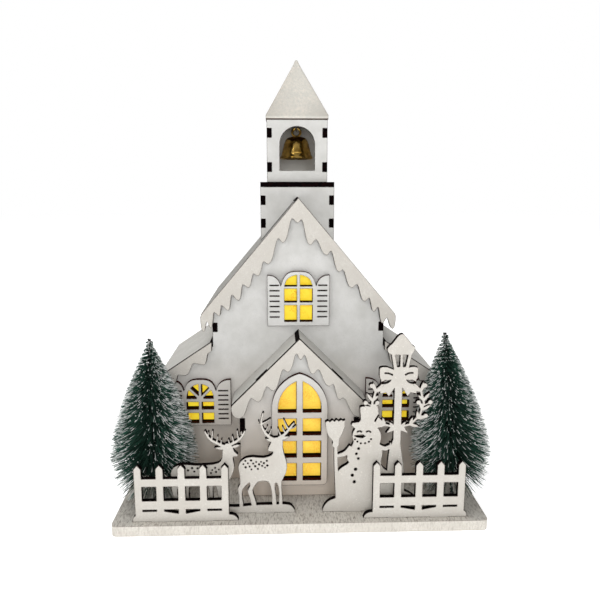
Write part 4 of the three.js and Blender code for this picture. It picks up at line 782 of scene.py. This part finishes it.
def grow_band(band, chance, x, reach, top):
    """The hairs of one band of the brush, as a mesh round an upright wire."""
    tuft = bmesh.new()
    layer = tuft.verts.layers.float_color.new("hair")
    for _ in range(HAIRS // BANDS):
        share = (band + chance.random()) / BANDS
        low = max(0, 1 - share / LOW_SHARE)
        if chance.random() < THIN_LOW * low:
            continue
        z = SKIRT + (top - SKIRT) * share
        turn = chance.choice((0, math.pi)) + 2 * math.pi * z / ROW_RISE + chance.gauss(0, 0.38)
        sideways = abs(math.cos(turn))
        if chance.random() < THIN_FRONT * (1 - sideways):
            continue
        width = max(reach * math.sin(math.pi / 2 * (1 - share)) ** ROUNDED_SIDES, SHORTEST) * MM
        stray = chance.gauss(0, 8 if chance.random() < 0.08 else 1)
        tilt = math.radians(-DROOP - LOW_DROOP * low - TOP_DROOP * share ** 2 + stray)
        out = Vector((math.cos(turn) * math.cos(tilt), math.sin(turn) * math.cos(tilt), math.sin(tilt)))
        root = Vector((0, 0, z)) + out * 0.8 * MM
        length = fitted(root, out, width * min(1.0, chance.gauss(0.92, 0.06)), x)
        tip = root + out * length
        # Painted shade: hairs that point to the front or back get a darker tone, so the core looks dark.
        tone = chance.random() * (0.3 + 0.7 * sideways)
        dusted = 1.0 if chance.random() < 0.05 + 0.5 * sideways ** 2 else 0.0
        grow_cone(tuft, layer, root, tip, HAIR_GIRTH, (0.0, 1.0), dusted, tone)
        if chance.random() < BEADED:
            bead = root + out * length * chance.uniform(0.1, 1.0)
            girth = chance.uniform(0.28, 0.52) * MM
            grow_cone(tuft, layer, bead - out * MM, bead, (girth, girth), (1.0, 1.0), 1.0, tone)
    part = bpy.data.meshes.new("tuft")
    tuft.to_mesh(part)
    tuft.free()
    return part


def grow_tree(name, x, lean, height, reach, seed):
    """All the hairs of a tree as one piece."""
    chance = random.Random(seed)
    top = (height - BARE_TOP) * MM - (GROUND - SOCKET)
    whole = bmesh.new()
    for band in range(BANDS):
        part = grow_band(band, chance, x, reach, top)
        whole.from_mesh(part)
        bpy.data.meshes.remove(part)
    bmesh.ops.transform(whole, matrix=tree_place(x, lean), verts=whole.verts)
    piece = new_piece(f"{name}_hairs", whole, "church", name, hair_finish,
                      smooth_below=180)
    print(name, "triangles:", sum(len(p.vertices) - 2 for p in piece.data.polygons))


print("each tree has up to", HAIRS, "hairs")

# %% [markdown]
# ## Twist the wires and plant the trees
#
# Two wires twisted round each other are drawn as bevelled curves, which are then turned into a mesh. The
# right tree leans a little towards the church, as it does in its hole.

# %% Wires and trees
STRAND_OFFSET = 0.7 * MM
STRAND_GIRTH = 0.75 * MM
WIRE_TURN = 7 * MM
WIRE_STEPS = 220
TREES = {
    "tree_left": {"x": -114.6, "lean": 0, "height": 140.2, "reach": 34.5, "seed": 1},
    "tree_right": {"x": 124.4, "lean": -4.9, "height": 143.8, "reach": 32.5, "seed": 2},
}


def twist_wire(name, x, lean, height):
    """The stem of a tree as one piece."""
    curve = bpy.data.curves.new(f"{name}_twist", "CURVE")
    curve.dimensions = "3D"
    curve.bevel_depth = STRAND_GIRTH
    curve.bevel_resolution = 1
    curve.use_fill_caps = True
    top = (height - BARE_TOP / 2) * MM - (GROUND - SOCKET)
    for strand in (0, math.pi):
        line = curve.splines.new("POLY")
        line.points.add(WIRE_STEPS)
        for i in range(WIRE_STEPS + 1):
            z = top * i / WIRE_STEPS
            turn = strand + 2 * math.pi * z / WIRE_TURN
            line.points[i].co = (STRAND_OFFSET * math.cos(turn), STRAND_OFFSET * math.sin(turn), z, 1)
    draft = bpy.data.objects.new("draft", curve)
    mesh = bpy.data.meshes.new_from_object(draft)
    bpy.data.objects.remove(draft)
    shape = bmesh.new()
    shape.from_mesh(mesh)
    bmesh.ops.transform(shape, matrix=tree_place(x, lean), verts=shape.verts)
    new_piece(f"{name}_wire", shape, "church", name, wire_finish)


for name, plant in TREES.items():
    grow_tree(name, **plant)
    twist_wire(name, plant["x"], plant["lean"], plant["height"])

# %% [markdown]
# ## The light unit at the back
#
# The battery case, its sliding cover and the switch are moulded in ABS, which comes out of the mould with
# a faint grain and a low shine. Moulded edges are never sharp, so each gets a rounded copy, as the
# steeple did. The cells wear a printed sleeve, and their contacts are tinned spring steel.

# %% Moulded plastic and battery finishes
def moulded_plastic(name, base, shade, rough=0.45):
    material, tree, place = start_finish(name)
    spark = blobs(tree, place, 0.9, detail=4)
    tone = mix(tree, steps_between(tree, blobs(tree, place, 12), 0.4, 0.7), colour(base), colour(shade))
    bump = add(tree, "ShaderNodeBump", {"Height": spark, "Strength": 0.25, "Distance": 0.08 * MM})
    end_finish(tree, {"Base Color": tone, "Roughness": rough, "IOR": 1.54, "Normal": bump.outputs[0]})
    return material


ivory_plastic = moulded_plastic("moulded_abs_ivory", "#e4e1da", "#d9d5cc")
dark_plastic = moulded_plastic("moulded_abs_black", "#1b1b1c", "#262627")
tin = drawn_wire("tinned_spring_steel", "#b9b5aa", "#8d897f")
jacket = moulded_plastic("printed_cell_jacket", "#4d5357", "#3a3f42", rough=0.3)
dress(["battery_cell_1", "battery_cell_2"], jacket)
dress(["battery_contact_left", "battery_contact_right"], tin)
dress(["lamp_board"], ivory_plastic)
case = rounded_copy("battery_case", "church", ivory_plastic, 0.4, "battery_case_moulded")
rounded_copy("battery_cover", "cover", ivory_plastic, 0.3, "battery_cover_moulded")
rounded_copy("switch_knob", "switch", dark_plastic, 0.4, "switch_knob_moulded")
print("battery case faces:", len(case.data.polygons))
